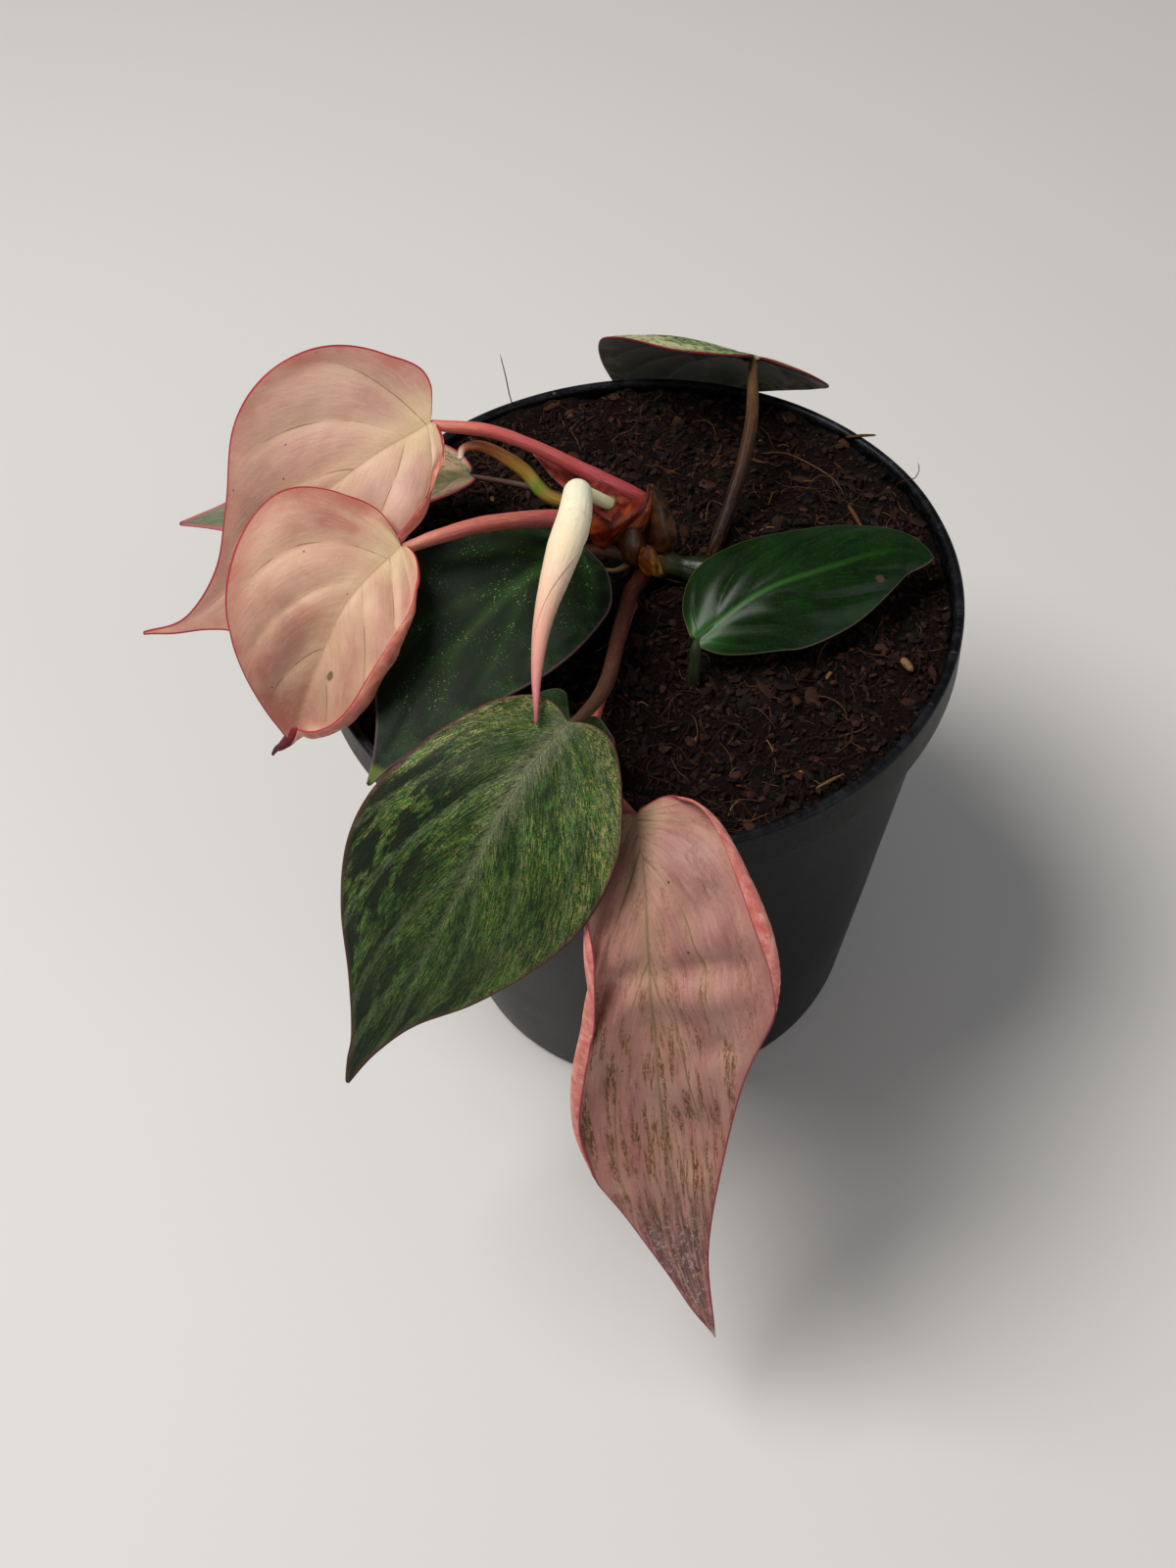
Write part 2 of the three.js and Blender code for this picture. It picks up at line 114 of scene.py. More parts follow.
# Each leaf: the blade's spine runs from the stalk to the tip, and each outline lists [along the
# spine, away from it]. The cross-section turns by fold degrees at the midrib and by bend degrees
# over the left and the right half. Curl turns the left and the right margin up: where it begins
# and ends along the spine, its angle, its width, and how far it takes to rise and to fade.
# Bumps: along, away, half length, half width, height, slant. The stalk runs from the stem or the
# mix to the blade.
LEAVES = {
    "upper_pink": {
        "spine": [[-31, 14, 122], [-43, 7, 119.5], [-59, 3, 107], [-73, 0, 95], [-83, 2, 90]],
        "face": [[0, -0.6, 0.8], [0, -0.6, 0.8]],
        "right": [[-0.8, 0.9], [-3.2, 5], [-2.5, 9], [3, 14.5], [10, 18.6], [17, 19.4], [25, 16.8],
            [34, 10], [43, 4], [54, 1.2]],
        "left": [[-0.8, 0.9], [-0.2, 4.4], [1.6, 8.2], [8, 15.2], [16, 17.4], [25, 16.6], [36, 13.8],
            [46, 9], [51, 4], [56, 1.4]],
        "fold": 8, "bend": [-22, 12], "curl": [[-3, 32, 160, 5.6, 12, 18], [0, 1, 0, 1, 1, 1]],
        "veins": 5, "quilt": 0.9, "ripple": 0.7, "seed": 3,
        "stalk": [[2, 11, 103.6], [0.5, 11.6, 105.6], [-10, 12.2, 113.4], [-16, 12.5, 117.5],
            [-22, 13, 120.3], [-28.4, 13.8, 121]],
        "radii": [1.6, 1.5, 1.25, 1.1, 1.05, 1.1],
    },
    "front_pink": {
        "spine": [[-36, -5, 114], [-44, -14, 112], [-50, -20.5, 104], [-56, -24, 91]],
        "face": [[0, -0.6, 0.8], [0, -0.6, 0.8]],
        "right": [[-0.8, 0.9], [-1.8, 6.5], [0.5, 12], [5.5, 17.3], [10, 19], [16, 17.8], [23, 14.8],
            [29, 10.5], [35, 5.2], [38, 1.6]],
        "left": [[-0.8, 0.9], [0, 3.4], [3, 7], [8, 11.2], [14, 14], [20, 15], [26, 14.2], [32, 11.4],
            [36.5, 7]],
        "fold": 8, "bend": [12, 4], "curl": [[-2, 64, 150, 6, 25, 14], [0, 1, 0, 1, 1, 1]],
        "veins": 5, "quilt": 0.8, "ripple": 0.7, "seed": 8,
        "stalk": [[-0.6, 8.6, 102.8], [-3.6, 7.6, 104.6], [-13, 3.8, 109.6], [-23, -0.3, 113.2],
            [-30, -3, 113.8], [-33.6, -3.6, 113]],
        "radii": [1.6, 1.45, 1.4, 1.4, 1.3, 1.2],
    },
    "dark_velvet": {
        "spine": [[-9, 3, 104], [-19, -6.5, 105.5], [-30, -19, 103], [-42, -38, 97]],
        "face": [[0, -0.3, 1], [0, -0.3, 1]],
        "right": [[-0.8, 0.9], [-1.5, 6], [4, 10], [12, 13.5], [19, 16.2], [27, 14.8], [35, 10.5],
            [43, 5], [49, 2]],
        "left": [[-0.8, 0.9], [0, 6.5], [4, 12], [10, 14.4], [17, 15.2], [24, 14.3], [31, 11.8],
            [40, 7], [48, 2.6]],
        "fold": 6, "bend": [-6, -6], "veins": 5, "quilt": 0.5, "ripple": 0.5, "seed": 12,
        "stalk": [[-1, 6.2, 98.6], [-2.6, 5.2, 99.6], [-5, 4.4, 101.2], [-7.4, 3.8, 102]],
        "radii": [1.2, 1.1, 1.05, 1],
    },
    "large_green": {
        "spine": [[-11, -40, 112], [-18, -50, 111.5], [-25, -57.5, 103], [-36, -64, 84],
            [-49, -69, 62]],
        "face": [[0, -0.5, 0.8], [0, -0.8, 0.6]],
        "right": [[-0.8, 0.9], [-1.5, 5.5], [2.5, 10], [10, 13], [18, 16.6], [27, 18.5], [36, 17.8],
            [46, 14.2], [56, 8.4], [65, 3.6], [70, 2]],
        "left": [[-0.8, 0.9], [-2.2, 4], [-1, 8], [5, 13.5], [12, 17], [21, 18.2], [30, 17.3],
            [39, 14.2], [48, 9.8], [57, 4.2], [66, 1.4]],
        "fold": 0, "bend": [-2, -18], "veins": 6, "quilt": 0.5, "ripple": 0.5, "seed": 17,
        "stalk": [[1.6, 6.6, 96.6], [0.6, 3.4, 95.3], [-1.2, -2, 97.4], [-3.2, -15, 102.2],
            [-5.4, -30, 108], [-9, -38, 110.6]],
        "radii": [1.5, 1.3, 1.25, 1.2, 1.2, 1.15],
    },
    "long_pink": {
        "spine": [[-2, -48, 99.6], [-1, -59.4, 98.2], [-1, -70, 85.6], [0, -80, 61], [2, -90, 41],
            [6, -98, 28]],
        "face": [[-0.25, -0.5, 0.8], [0, -0.8, 0.6]],
        "right": [[-0.8, 0.9], [-0.5, 4.5], [4, 8], [10, 10.2], [20, 11.4], [30, 12.3], [40, 14.6],
            [50, 15], [60, 12.2], [70, 7.4], [80, 3.6], [88, 1.8]],
        "left": [[-0.8, 0.9], [-1, 5.5], [2.2, 10.4], [6.4, 15.2], [10.6, 18.6], [15, 20.8],
            [19.5, 21.4], [24, 20.6], [29, 18.8], [33, 16.8], [37, 15], [42, 13.2], [50, 11], [62, 7.9],
            [74, 4.8], [86, 2.1]],
        "fold": 6, "bend": [16, 6], "curl": [[-3, 31, 150, 4.6, 14, 18], [7, 67, 150, 4.7, 16, 30]],
        "veins": 5, "quilt": 0.7, "ripple": 0.8, "seed": 23,
        "bumps": [[23, -9, 2.2, 9, -1.5, 0.2], [27.5, -9, 3, 8, 1.3, 0.2], [28, 7, 2.4, 6, -1.5, 0.7],
            [33, 7, 3, 6, 1.3, 0.7], [34, -13, 2.2, 5, -1.7, 0.6], [14.5, -9, 3, 5, -1, 0.3],
            [19, 9, 4, 4, -1, 0], [44, 9, 4, 4, -1.3, 0], [52, -7, 5, 4, -1, 0], [58, 3, 6, 4, 0.8, 0]],
        "stalk": [[-1, 0, 91.6], [-1.4, -2, 94.4], [-3.1, -8.5, 95.1], [-5, -17, 96],
            [-7.4, -25.5, 96.8], [-8, -34, 97.4], [-6.2, -41, 97.8], [-3.2, -46, 98.2]],
        "radii": [1.1, 1.1, 1.1, 1.1, 1.1, 1.05, 1.05, 1],
    },
    "glossy_green": {
        "spine": [[9, -13, 98], [19, -7.5, 102], [30, -3.5, 102.5], [41, 0.5, 101.5], [48, 1, 99]],
        "face": [[0, -0.3, 1], [0, -0.3, 1]],
        "right": [[-0.8, 0.9], [1.5, 4.5], [6, 8], [12, 10.6], [18, 11.2], [25, 10], [32, 7.2],
            [40, 3]],
        "left": [[-0.8, 0.9], [1, 6], [4, 9.5], [8, 11.5], [14, 11.4], [21, 10.4], [28, 9], [34, 6.4],
            [40, 3]],
        "fold": -8, "bend": [-24, -16], "veins": 5, "quilt": 0.75, "ripple": 0.35, "seed": 31,
        "stalk": [[7.8, -17.2, 90.5], [8, -16.4, 93.2], [8.4, -15.2, 95.2], [8.7, -14, 96.8]],
        "radii": [1.1, 1.1, 1, 0.9],
    },
    "small_left": {
        "spine": [[-27, 22, 103], [-40, 18.5, 104], [-60, 18, 101], [-77, 19.5, 98]],
        "face": [[0, -0.3, 1], [0, -0.3, 1]],
        "right": [[-0.8, 0.9], [0.5, 4], [4, 7], [10, 9], [18, 9.5], [27, 8.5], [36, 5.5], [44, 2.4]],
        "left": [[-0.8, 0.9], [0.3, 2], [4, 3.4], [10, 4.8], [18, 6.8], [27, 7.4], [36, 5], [44, 2.2]],
        "fold": 8, "bend": [6, 6], "veins": 5, "quilt": 0.3, "ripple": 0.3, "seed": 37,
        "stalk": [[-1, 11.4, 101], [-5, 13.4, 101.4], [-16, 19.4, 101.4], [-25, 21.8, 102.2]],
        "radii": [0.6, 0.6, 0.6, 0.55],
    },
    "olive_under": {
        "spine": [[-11, -31, 100.6], [-14, -40, 102], [-18, -49, 101.5], [-22, -57, 99.5]],
        "face": [[0, -0.2, 1], [0, -0.2, 1]],
        "right": [[-1, 0.9], [-6.5, 3], [-6, 6], [-1.5, 8.5], [5, 9], [13, 6.5], [21, 2.5]],
        "left": [[-1, 0.9], [-3, 3], [-1, 5.5], [2, 7.5], [8, 7.2], [14, 5], [21, 2]],
        "fold": 4, "bend": [-10, -10], "veins": 5, "quilt": 0.3, "ripple": 0.3, "seed": 41,
        "stalk": [[-14.4, -25, 90], [-14, -26, 92.7], [-13.4, -28, 96], [-12, -30, 98.6]],
        "radii": [0.9, 0.9, 0.9, 0.8],
    },
    "back": {
        "spine": [[22, 42, 108], [17, 49.5, 103.5], [11, 58.5, 94.5], [5, 65.5, 82.5], [0, 70, 69.5]],
        "face": [[0.3, 0.58, 0.75], [0.25, 0.82, 0.5]],
        "right": [[-1, 0.9], [-3.6, 7], [-2, 14], [3.5, 20], [12, 20.5], [22, 17.5], [31, 12.5],
            [39, 7.5], [46, 3]],
        "left": [[-1, 0.9], [-3.4, 6], [-2.2, 12.4], [4, 18.6], [14, 20.6], [23, 18], [32, 13.5],
            [40, 8], [47, 3]],
        "fold": 2, "bend": [-20, -16], "veins": 6, "quilt": 0.5, "ripple": 0.4, "seed": 47,
        "stalk": [[11.8, 5.8, 94.8], [13.6, 11.2, 94.8], [15.4, 15.4, 96.6], [18.6, 22.5, 101.5],
            [20.6, 30, 104.6], [21.4, 39, 106.6]],
        "radii": [1.3, 1.2, 1.15, 1.15, 1.1, 1],
    },
}


# Smooth maths on arrays

def ramp(x):
    """0 below 0, 1 above 1, smooth between."""
    x = np.clip(x, 0, 1)
    return x * x * (3 - 2 * x)


def lattice(cell, seed):
    """A repeatable value from -1 to 1 for each whole-numbered cell."""
    n = cell[..., 0] * 73856093 ^ cell[..., 1] * 19349663 ^ cell[..., 2] * 83492791
    n = (n ^ seed * 40503) & 0x7FFFFFFF
    n = (n ^ n >> 13) * 1274126177 & 0x7FFFFFFF
    n = (n ^ n >> 16) * 1103515245 & 0x7FFFFFFF
    return n / 0x3FFFFFFF - 1


def noise(places, size, seed=0):
    """Smooth noise from -1 to 1 whose features are about size millimetres."""
    at = np.asarray(places, float) / size
    cell = np.floor(at).astype(np.int64)
    part = ramp(at - cell)
    total = 0
    for corner in np.ndindex(2, 2, 2):
        weight = np.prod(np.where(corner, part, 1 - part), axis=-1)
        total = total + weight * lattice(cell + np.array(corner), seed)
    return total


def around(count):
    """Evenly spaced angles round a full turn."""
    return 2 * np.pi * np.arange(count) / count


def unit(vectors):
    """The same directions at length 1."""
    return vectors / np.maximum(np.linalg.norm(vectors, axis=-1, keepdims=True), 1e-12)


class Path:
    """A smooth curve through points, read by the distance along it."""

    SAMPLES = 600

    def __init__(self, points, clamped=False):
        p = np.array(points, float)
        first = p[0] if clamped else 2 * p[0] - p[1]
        last = p[-1] if clamped else 2 * p[-1] - p[-2]
        full = np.vstack([first, p, last])
        t = np.linspace(0, len(p) - 1, self.SAMPLES)
        i = np.minimum(t.astype(int), len(p) - 2)
        f = (t - i)[:, None]
        a, b, c, d = full[i], full[i + 1], full[i + 2], full[i + 3]
        self.places = 0.5 * (2 * b + (c - a) * f + (2 * a - 5 * b + 4 * c - d) * f ** 2
                             + (3 * b - a - 3 * c + d) * f ** 3)
        steps = np.linalg.norm(np.diff(self.places, axis=0), axis=1)
        self.stations = np.concatenate([[0], np.cumsum(steps)])
        self.length = self.stations[-1]
        self.tangents = unit(np.gradient(self.places, self.stations, axis=0))

    def read(self, table, distance):
        columns = [np.interp(distance, self.stations, column) for column in table.T]
        return np.stack(columns, axis=-1)

    def at(self, distance):
        return self.read(self.places, distance)

    def tangent(self, distance):
        return unit(self.read(self.tangents, distance))


# Pieces

def add_object(name, data):
    """A new object in the scene."""
    made = bpy.data.objects.new(name, data)
    bpy.context.scene.collection.objects.link(made)
    return made


def mesh_of(name, places, faces):
    """A mesh from places in millimetres."""
    mesh = bpy.data.meshes.new(name)
    mesh.from_pydata((np.asarray(places) * MM).tolist(), [], faces)
    return mesh


def piece(name, places, faces, node, material, attributes=None, sharp=None):
    """A mesh piece from places in millimetres, in the place of a CAD node or of none."""
    mesh = mesh_of(name, places, faces)
    for key, values in (attributes or {}).items():
        values = np.asarray(values, np.float32)
        kind = "FLOAT_VECTOR" if values.ndim == 2 else "FLOAT"
        layer = mesh.attributes.new(key, kind, "POINT")
        layer.data.foreach_set("vector" if values.ndim == 2 else "value", values.ravel())
    mesh.shade_smooth()
    if sharp is not None:
        mesh.set_sharp_from_angle(angle=math.radians(sharp))
    mesh.materials.append(material)
    made = add_object(name, mesh)
    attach(made, "root")
    if node:
        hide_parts(node)
    return made


def grid_faces(rows, columns, wrap=False, start=0):
    """Quads of a grid of places, row by row, joined round its columns if wrap is set."""
    last = columns if wrap else columns - 1
    faces = []
    for i in range(rows - 1):
        for j in range(last):
            k = (j + 1) % columns
            low, high = start + i * columns, start + (i + 1) * columns
            faces.append((low + j, low + k, high + k, high + j))
    return faces


# Blades

def blade_rows(blade):
    """The flattened blade and its surface on a grid of rows from the stalk to the tip."""
    spine = Path(blade["spine"])
    length = spine.length
    outlines = []
    for side in ("left", "right"):
        points = blade[side] + [[length - TIP_INSET, TIP_HALF_WIDTH]]
        outlines.append(Path(points, clamped=True))
    rows = int(ROWS_PER_MM * max(o.length for o in outlines))
    step = np.linspace(0, 1, HALF_COLUMNS + 1)
    crowded = step - COLUMN_CROWDING * np.sin(2 * np.pi * step) / (2 * np.pi)
    u = np.concatenate([-crowded[:0:-1], crowded])[None, :]
    v = np.linspace(0, 1, rows)[:, None]
    right = (u >= 0) | np.zeros_like(v, bool)
    sign = np.where(right, 1.0, -1.0)
    t = np.abs(u) + np.zeros_like(v)
    ends = [o.at(v[:, 0] * o.length) for o in outlines]
    runs = [o.tangent(v[:, 0] * o.length) for o in outlines]

    def pick(pair, axis):
        return np.where(right, pair[1][:, axis][:, None], pair[0][:, axis][:, None])

    a, w = pick(ends, 0), pick(ends, 1)
    root = length * v ** FAN_POWER + np.zeros_like(u)
    depth = np.abs(pick(runs, 0) * w - pick(runs, 1) * (a - root))
    edge = (1 - t) * depth
    bend = np.where(right, blade["bend"][1], blade["bend"][0])

    def turn(k):
        return np.radians(blade["fold"] * ramp(k * w / FOLD_WIDTH) + bend * k)

    across, rise = 0, 0
    for i in range(CROSS_STEPS):
        angle = turn(t * (i + 0.5) / CROSS_STEPS)
        across = across + np.cos(angle) * w * t / CROSS_STEPS
        rise = rise + np.sin(angle) * w * t / CROSS_STEPS
    along = root + (a - root) * t
    station = np.clip(along, 0, length)
    tangent = spine.tangent(station)
    share = (station / length)[..., None]
    normal = np.array(blade["face"][0]) * (1 - share) + np.array(blade["face"][1]) * share
    normal = unit(normal - tangent * np.sum(normal * tangent, -1, keepdims=True))
    side = np.cross(tangent, normal)
    places = spine.at(station) + tangent * (along - station)[..., None]
    places = places + side * (sign * across)[..., None] + normal * rise[..., None]
    angle = turn(t)[..., None]
    up = normal * np.cos(angle) - side * np.sin(angle) * sign[..., None]
    outward = side * np.cos(angle) * sign[..., None] + normal * np.sin(angle)
    if "curl" in blade:
        outward = outward * pick(runs, 0)[..., None] - tangent * pick(runs, 1)[..., None]
        places, up = curl_margin(blade, places, up, outward, right, a, edge, depth)
    return {"places": places, "up": up, "along": along, "across": sign * w * t, "edge": edge,
            "t": t, "v": v + np.zeros_like(u), "right": right, "length": length}


def curl_margin(blade, places, up, outward, right, a, edge, depth):
    """Turn a band along the margin up and over, about the margin's own direction."""
    pairs = zip(*reversed(blade["curl"]))
    begin, end, most, wide, first, last = [np.where(right, *pair) for pair in pairs]
    share = ramp((a - begin) / first) * ramp((end - a) / last)
    wide = wide * (CURL_END + (1 - CURL_END) * share)
    band = np.minimum(wide, CURL_SHARE * depth) + 1e-6
    most = np.radians(most) * ramp(5 * share)
    part = np.clip(1 - edge / band, 0, 1)
    out, rise = -part, 0
    for i in range(CROSS_STEPS):
        angle = most * ramp(part * (i + 0.5) / CROSS_STEPS)
        out = out + np.cos(angle) * part / CROSS_STEPS
        rise = rise + np.sin(angle) * part / CROSS_STEPS
    places = places + outward * (out * band)[..., None] + up * (rise * band)[..., None]
    angle = (most * ramp(part))[..., None]
    return places, unit(up * np.cos(angle) - outward * np.sin(angle))


def vein_share(rows, blade):
    """Where each place is between the lateral veins, which arch towards the tip, from 0 at the
    base to 1 at the tip, and how many millimetres one whole share spans there."""
    v, t = rows["v"], rows["t"]
    arch = VEIN_ARCH * t ** 2 + 1e-6
    q = ((1 + arch) - np.sqrt((1 + arch) ** 2 - 4 * arch * v)) / (2 * arch)
    phase = np.where(rows["right"], 0.0, 1.9) + blade["seed"]
    q = q + 0.018 * np.sin(9 * q + phase) * np.sin(np.pi * q)
    flat = np.stack([rows["along"], rows["across"]], -1)
    dq = [np.gradient(q, axis=axis) for axis in (0, 1)]
    dp = [np.gradient(flat, axis=axis) for axis in (0, 1)]
    area = np.abs(dp[0][..., 0] * dp[1][..., 1] - dp[0][..., 1] * dp[1][..., 0])
    slope = dq[0][..., None] * dp[1] - dq[1][..., None] * dp[0]
    gap = area / np.maximum(np.linalg.norm(slope, axis=-1), 1e-9)
    return q, np.clip(gap, 0.02, 400)


def blade_relief(rows, blade, q):
    """Height over the smooth surface: pillows between the veins, a sunken midrib, dents."""
    across, along, edge = rows["across"], rows["along"], rows["edge"]
    flat = np.stack([along, across, np.full_like(along, blade["seed"])], -1)
    pillow = np.sin(np.pi * (q * blade["veins"] % 1)) ** 0.8 - 0.5
    spread = ramp(np.abs(across) / 5) * ramp(edge / 6) * ramp(rows["v"] * 5)
    spread = spread * (0.7 + 0.5 * noise(flat, 14, blade["seed"] + 2))
    height = blade["quilt"] * pillow * spread
    calm = ramp(edge / 3) * 0.7 + 0.3
    height = height + blade["ripple"] * noise(flat, 11, blade["seed"]) * calm
    height = height + 0.25 * blade["ripple"] * noise(flat, 4, blade["seed"] + 1) * calm
    height = height - MIDRIB_GROOVE * np.exp(-(across / GROOVE_HALF_WIDTH) ** 2)
    for at, away, long, wide, high, slope in blade.get("bumps", []):
        off = along - at - slope * (across - away)
        mound = np.exp(-(off / long) ** 2 - ((across - away) / wide) ** 2)
        height = height + high * mound * ramp((edge - 2) / 6)
    return height


def blade_solid(upper, lower):
    """Places and faces of a closed blade: an upper and a lower skin that share their margin."""
    count, columns = upper.shape[:2]
    index = np.arange(count * columns).reshape(count, columns)
    under = index.copy()
    inner = (count - 2) * (columns - 2)
    under[1:-1, 1:-1] = count * columns + np.arange(inner).reshape(count - 2, columns - 2)
    faces = []
    for i in range(count - 1):
        for j in range(columns - 1):
            faces.append((index[i, j], index[i + 1, j], index[i + 1, j + 1], index[i, j + 1]))
            faces.append((under[i, j], under[i, j + 1], under[i + 1, j + 1], under[i + 1, j]))
    faces = [tuple(int(k) for k in face) for face in faces]
    return np.vstack([upper.reshape(-1, 3), lower[1:-1, 1:-1].reshape(-1, 3)]), faces


def on_both(values):
    """Values on a grid, laid out as blade_solid lays out its places."""
    return np.concatenate([values.reshape(-1), values[1:-1, 1:-1].reshape(-1)])


def make_blade(name, blade, material):
    rows = blade_rows(blade)
    q, gap = vein_share(rows, blade)
    height = blade_relief(rows, blade, q)
    ends = np.minimum(rows["v"], 1 - rows["v"]) * 60
    inset = np.minimum(np.minimum(rows["edge"], ends) / EDGE_ROUND, 1)
    half = BLADE_THICKNESS / 2 * np.sqrt(1 - (1 - inset) ** 2)
    fade = ramp(1.2 - rows["along"] / rows["length"]) * inset
    rib = MIDRIB_HEIGHT * fade * np.exp(-(rows["across"] / (0.35 + 0.55 * fade)) ** 2)
    vein = np.abs((q * blade["veins"] + 0.5) % 1 - 0.5) * gap / blade["veins"]
    low = SIDE_VEIN_HEIGHT * np.exp(-(vein / SIDE_VEIN_HALF_WIDTH) ** 2)
    rib = rib + low * inset * ramp(rows["edge"] / 4)
    places, up = rows["places"], rows["up"]
    upper = places + up * (height + half)[..., None]
    lower = places + up * (height - half - rib)[..., None]
    solid, faces = blade_solid(upper, lower)
    marked = q + RIGHT_SIDE * rows["right"]
    shown = [rows["along"], rows["across"], rows["edge"], marked, rows["t"], gap]
    *leaf, vein, out, gap = [on_both(values) for values in shown]
    side = 1.0 * (np.arange(len(gap)) < q.size)
    attributes = {"leaf": np.stack(leaf, -1), "vein": np.stack([vein, out, side], -1), "gap": gap}
    piece(f"blade_{name}_skin", solid, faces, f"blade_{name}", material, attributes)


# Sheets through a few rows of places

def smooth_grid(control, rows, columns):
    """A fine grid of places through a few rows of places."""
    lines = [Path(row) for row in control]
    spread = [line.at(np.linspace(0, line.length, columns)) for line in lines]
    columns_down = [Path([row[j] for row in spread]) for j in range(columns)]
    made = [path.at(np.linspace(0, path.length, rows)) for path in columns_down]
    return np.stack(made, axis=1)


def make_sheet(name, node, control, material, seed):
    """A thin sheet with a torn margin."""
    count = columns = SHEET_ROWS
    places = smooth_grid(control, count, columns)
    places = places + CRUMPLE * noise(places, 1.6, seed)[..., None] * np.array([0.3, -0.8, 0.6])
    down = np.gradient(places, axis=0)
    over = np.gradient(places, axis=1)
    i, j = np.mgrid[0:count, 0:columns]
    rim = np.minimum(np.minimum(i, count - 1 - i), np.minimum(j, columns - 1 - j))
    tear = RAGGED * noise(places, 0.9, seed + 1) * np.exp(-rim / 3)
    places = places + tear[..., None] * (unit(down) + unit(over))
    normal = unit(np.cross(over, down))
    half = SHEATH_THICKNESS / 2 * np.sqrt(1 - (1 - np.minimum(rim / 2, 1)) ** 2)
    out = normal * half[..., None]
    solid, faces = blade_solid(places - out, places + out)
    size = np.linalg.norm(down, axis=-1).mean(), np.linalg.norm(over, axis=-1).mean()
    leaf = np.stack([on_both(i * size[0]), on_both(j * size[1]), on_both(rim * min(size))], -1)
    vein = np.stack([on_both(j / columns), on_both(i / count), on_both(0.0 * i) + 1], -1)
    attributes = {"leaf": leaf, "vein": vein, "gap": on_both(0.0 * i + columns * size[1])}
    piece(name, solid, faces, node, material, attributes)


# Stalks and tubes

def carried_frames(tangents):
    """Two directions across a curve at each place, turned as little as possible along it."""
    start = np.cross(tangents[0], [0, 0, 1])
    if np.linalg.norm(start) < 0.1:
        start = np.cross(tangents[0], [0, 1, 0])
    sides = [unit(start)]
    for tangent in tangents[1:]:
        side = sides[-1] - tangent * np.dot(sides[-1], tangent)
        sides.append(unit(side))
    sides = np.array(sides)
    return sides, np.cross(tangents, sides)


def tube(points, radii, rings, sides, ridges=0, ridge_depth=0.0, rough=0.0, seed=0, seam=None):
    """Places, faces and attributes of a closed tube along points, with rounded ends. A seam is
    the height of a step in its round, and the turns it starts at and goes through."""
    path = Path(points)
    t = np.linspace(0, 1, rings)
    distance = t * path.length
    radius = np.interp(t * (len(radii) - 1), np.arange(len(radii)), radii)
    reach = max(rings // 20, 2)
    blur = np.ones(2 * reach + 1) / (2 * reach + 1)
    radius = np.convolve(np.pad(radius, reach, "edge"), blur, "valid")
    ends = np.minimum(distance, path.length - distance)
    radius = radius * np.sqrt(1 - (1 - np.minimum(ends / np.maximum(radius, 0.1), 1)) ** 2)
    radius = np.maximum(radius, 0.02)
    side, other = carried_frames(path.tangent(distance))
    columns = sides + 1 if seam else sides
    angle = 2 * np.pi * np.arange(columns) / sides
    angle = angle[None, :] + np.zeros((rings, 1))
    scale = 1 + ridge_depth * np.cos(ridges * angle)
    if seam:
        height, begin, turns = seam
        scale = 1 + height * (1 - angle / (2 * np.pi)) - height / 2
        angle = angle + 2 * np.pi * (begin + turns * t[:, None])
    flat = np.stack([distance[:, None] + 0 * angle, 3 * np.cos(angle), 3 * np.sin(angle)], -1)
    scale = scale + rough * noise(flat, 2.2, seed)
    out = side[:, None] * np.cos(angle)[..., None] + other[:, None] * np.sin(angle)[..., None]
    places = path.at(distance)[:, None] + out * (radius[:, None] * scale)[..., None]
    places = places.reshape(-1, 3)
    faces = grid_faces(rings, columns, wrap=True)
    caps = np.array([path.at(0), path.at(path.length)])
    first = len(places)
    for j in range(columns):
        k = (j + 1) % columns
        faces.append((first, k, j))
        high = (rings - 1) * columns
        faces.append((first + 1, high + j, high + k))
    turn = np.stack([t[:, None] + 0 * angle, angle / (2 * np.pi), distance[:, None] + 0 * angle], -1)
    turn = np.vstack([turn.reshape(-1, 3), [[0, 0, 0], [1, 0, path.length]]])
    return np.vstack([places, caps]), faces, {"stalk": turn}


def make_tube(name, node, points, radii, slot, material, rings=90, sides=24, sharp=None, **shape):
    places, faces, attributes = tube(points, radii, rings, sides, **shape)
    piece(name, places, faces, node, material, attributes, sharp)


def make_petiole(name, leaf, slot, material, ridges, ridge_depth):
    """A leaf's stalk, which runs on under its blade as the start of the midrib."""
    spine = Path(leaf["spine"])
    normal = np.array(leaf["face"][0], float)
    points = list(leaf["stalk"])
    radii = list(leaf["radii"])
    for distance, radius in ((0.6, 0.8), (5, 0.45)):
        tangent = spine.tangent(distance)
        up = unit(normal - tangent * np.dot(normal, tangent))
        points.append(list(spine.at(distance) - up * (0.9 * radius * radii[0])))
        radii.append(radius * radii[-1])
    radii[-1] = 0.3
    make_tube(f"petiole_{name}_skin", f"petiole_{name}", points, radii, slot, material,
              ridges=ridges, ridge_depth=ridge_depth, rough=0.03)


# Materials

def srgb(code):
    """A colour code such as e6b8a0, as linear red, green, blue and alpha."""
    values = [int(code[i:i + 2], 16) / 255 for i in (0, 2, 4)]
    linear = [x / 12.92 if x <= 0.04045 else ((x + 0.055) / 1.055) ** 2.4 for x in values]
    return (*linear, 1.0)


def fleshy(weight, radius):
    """Settings for light that soaks a little way into a leaf or stalk."""
    return {"Subsurface_Weight": weight, "Subsurface_Radius": radius,
            "Subsurface_Scale": SOAK_DEPTH * MM}


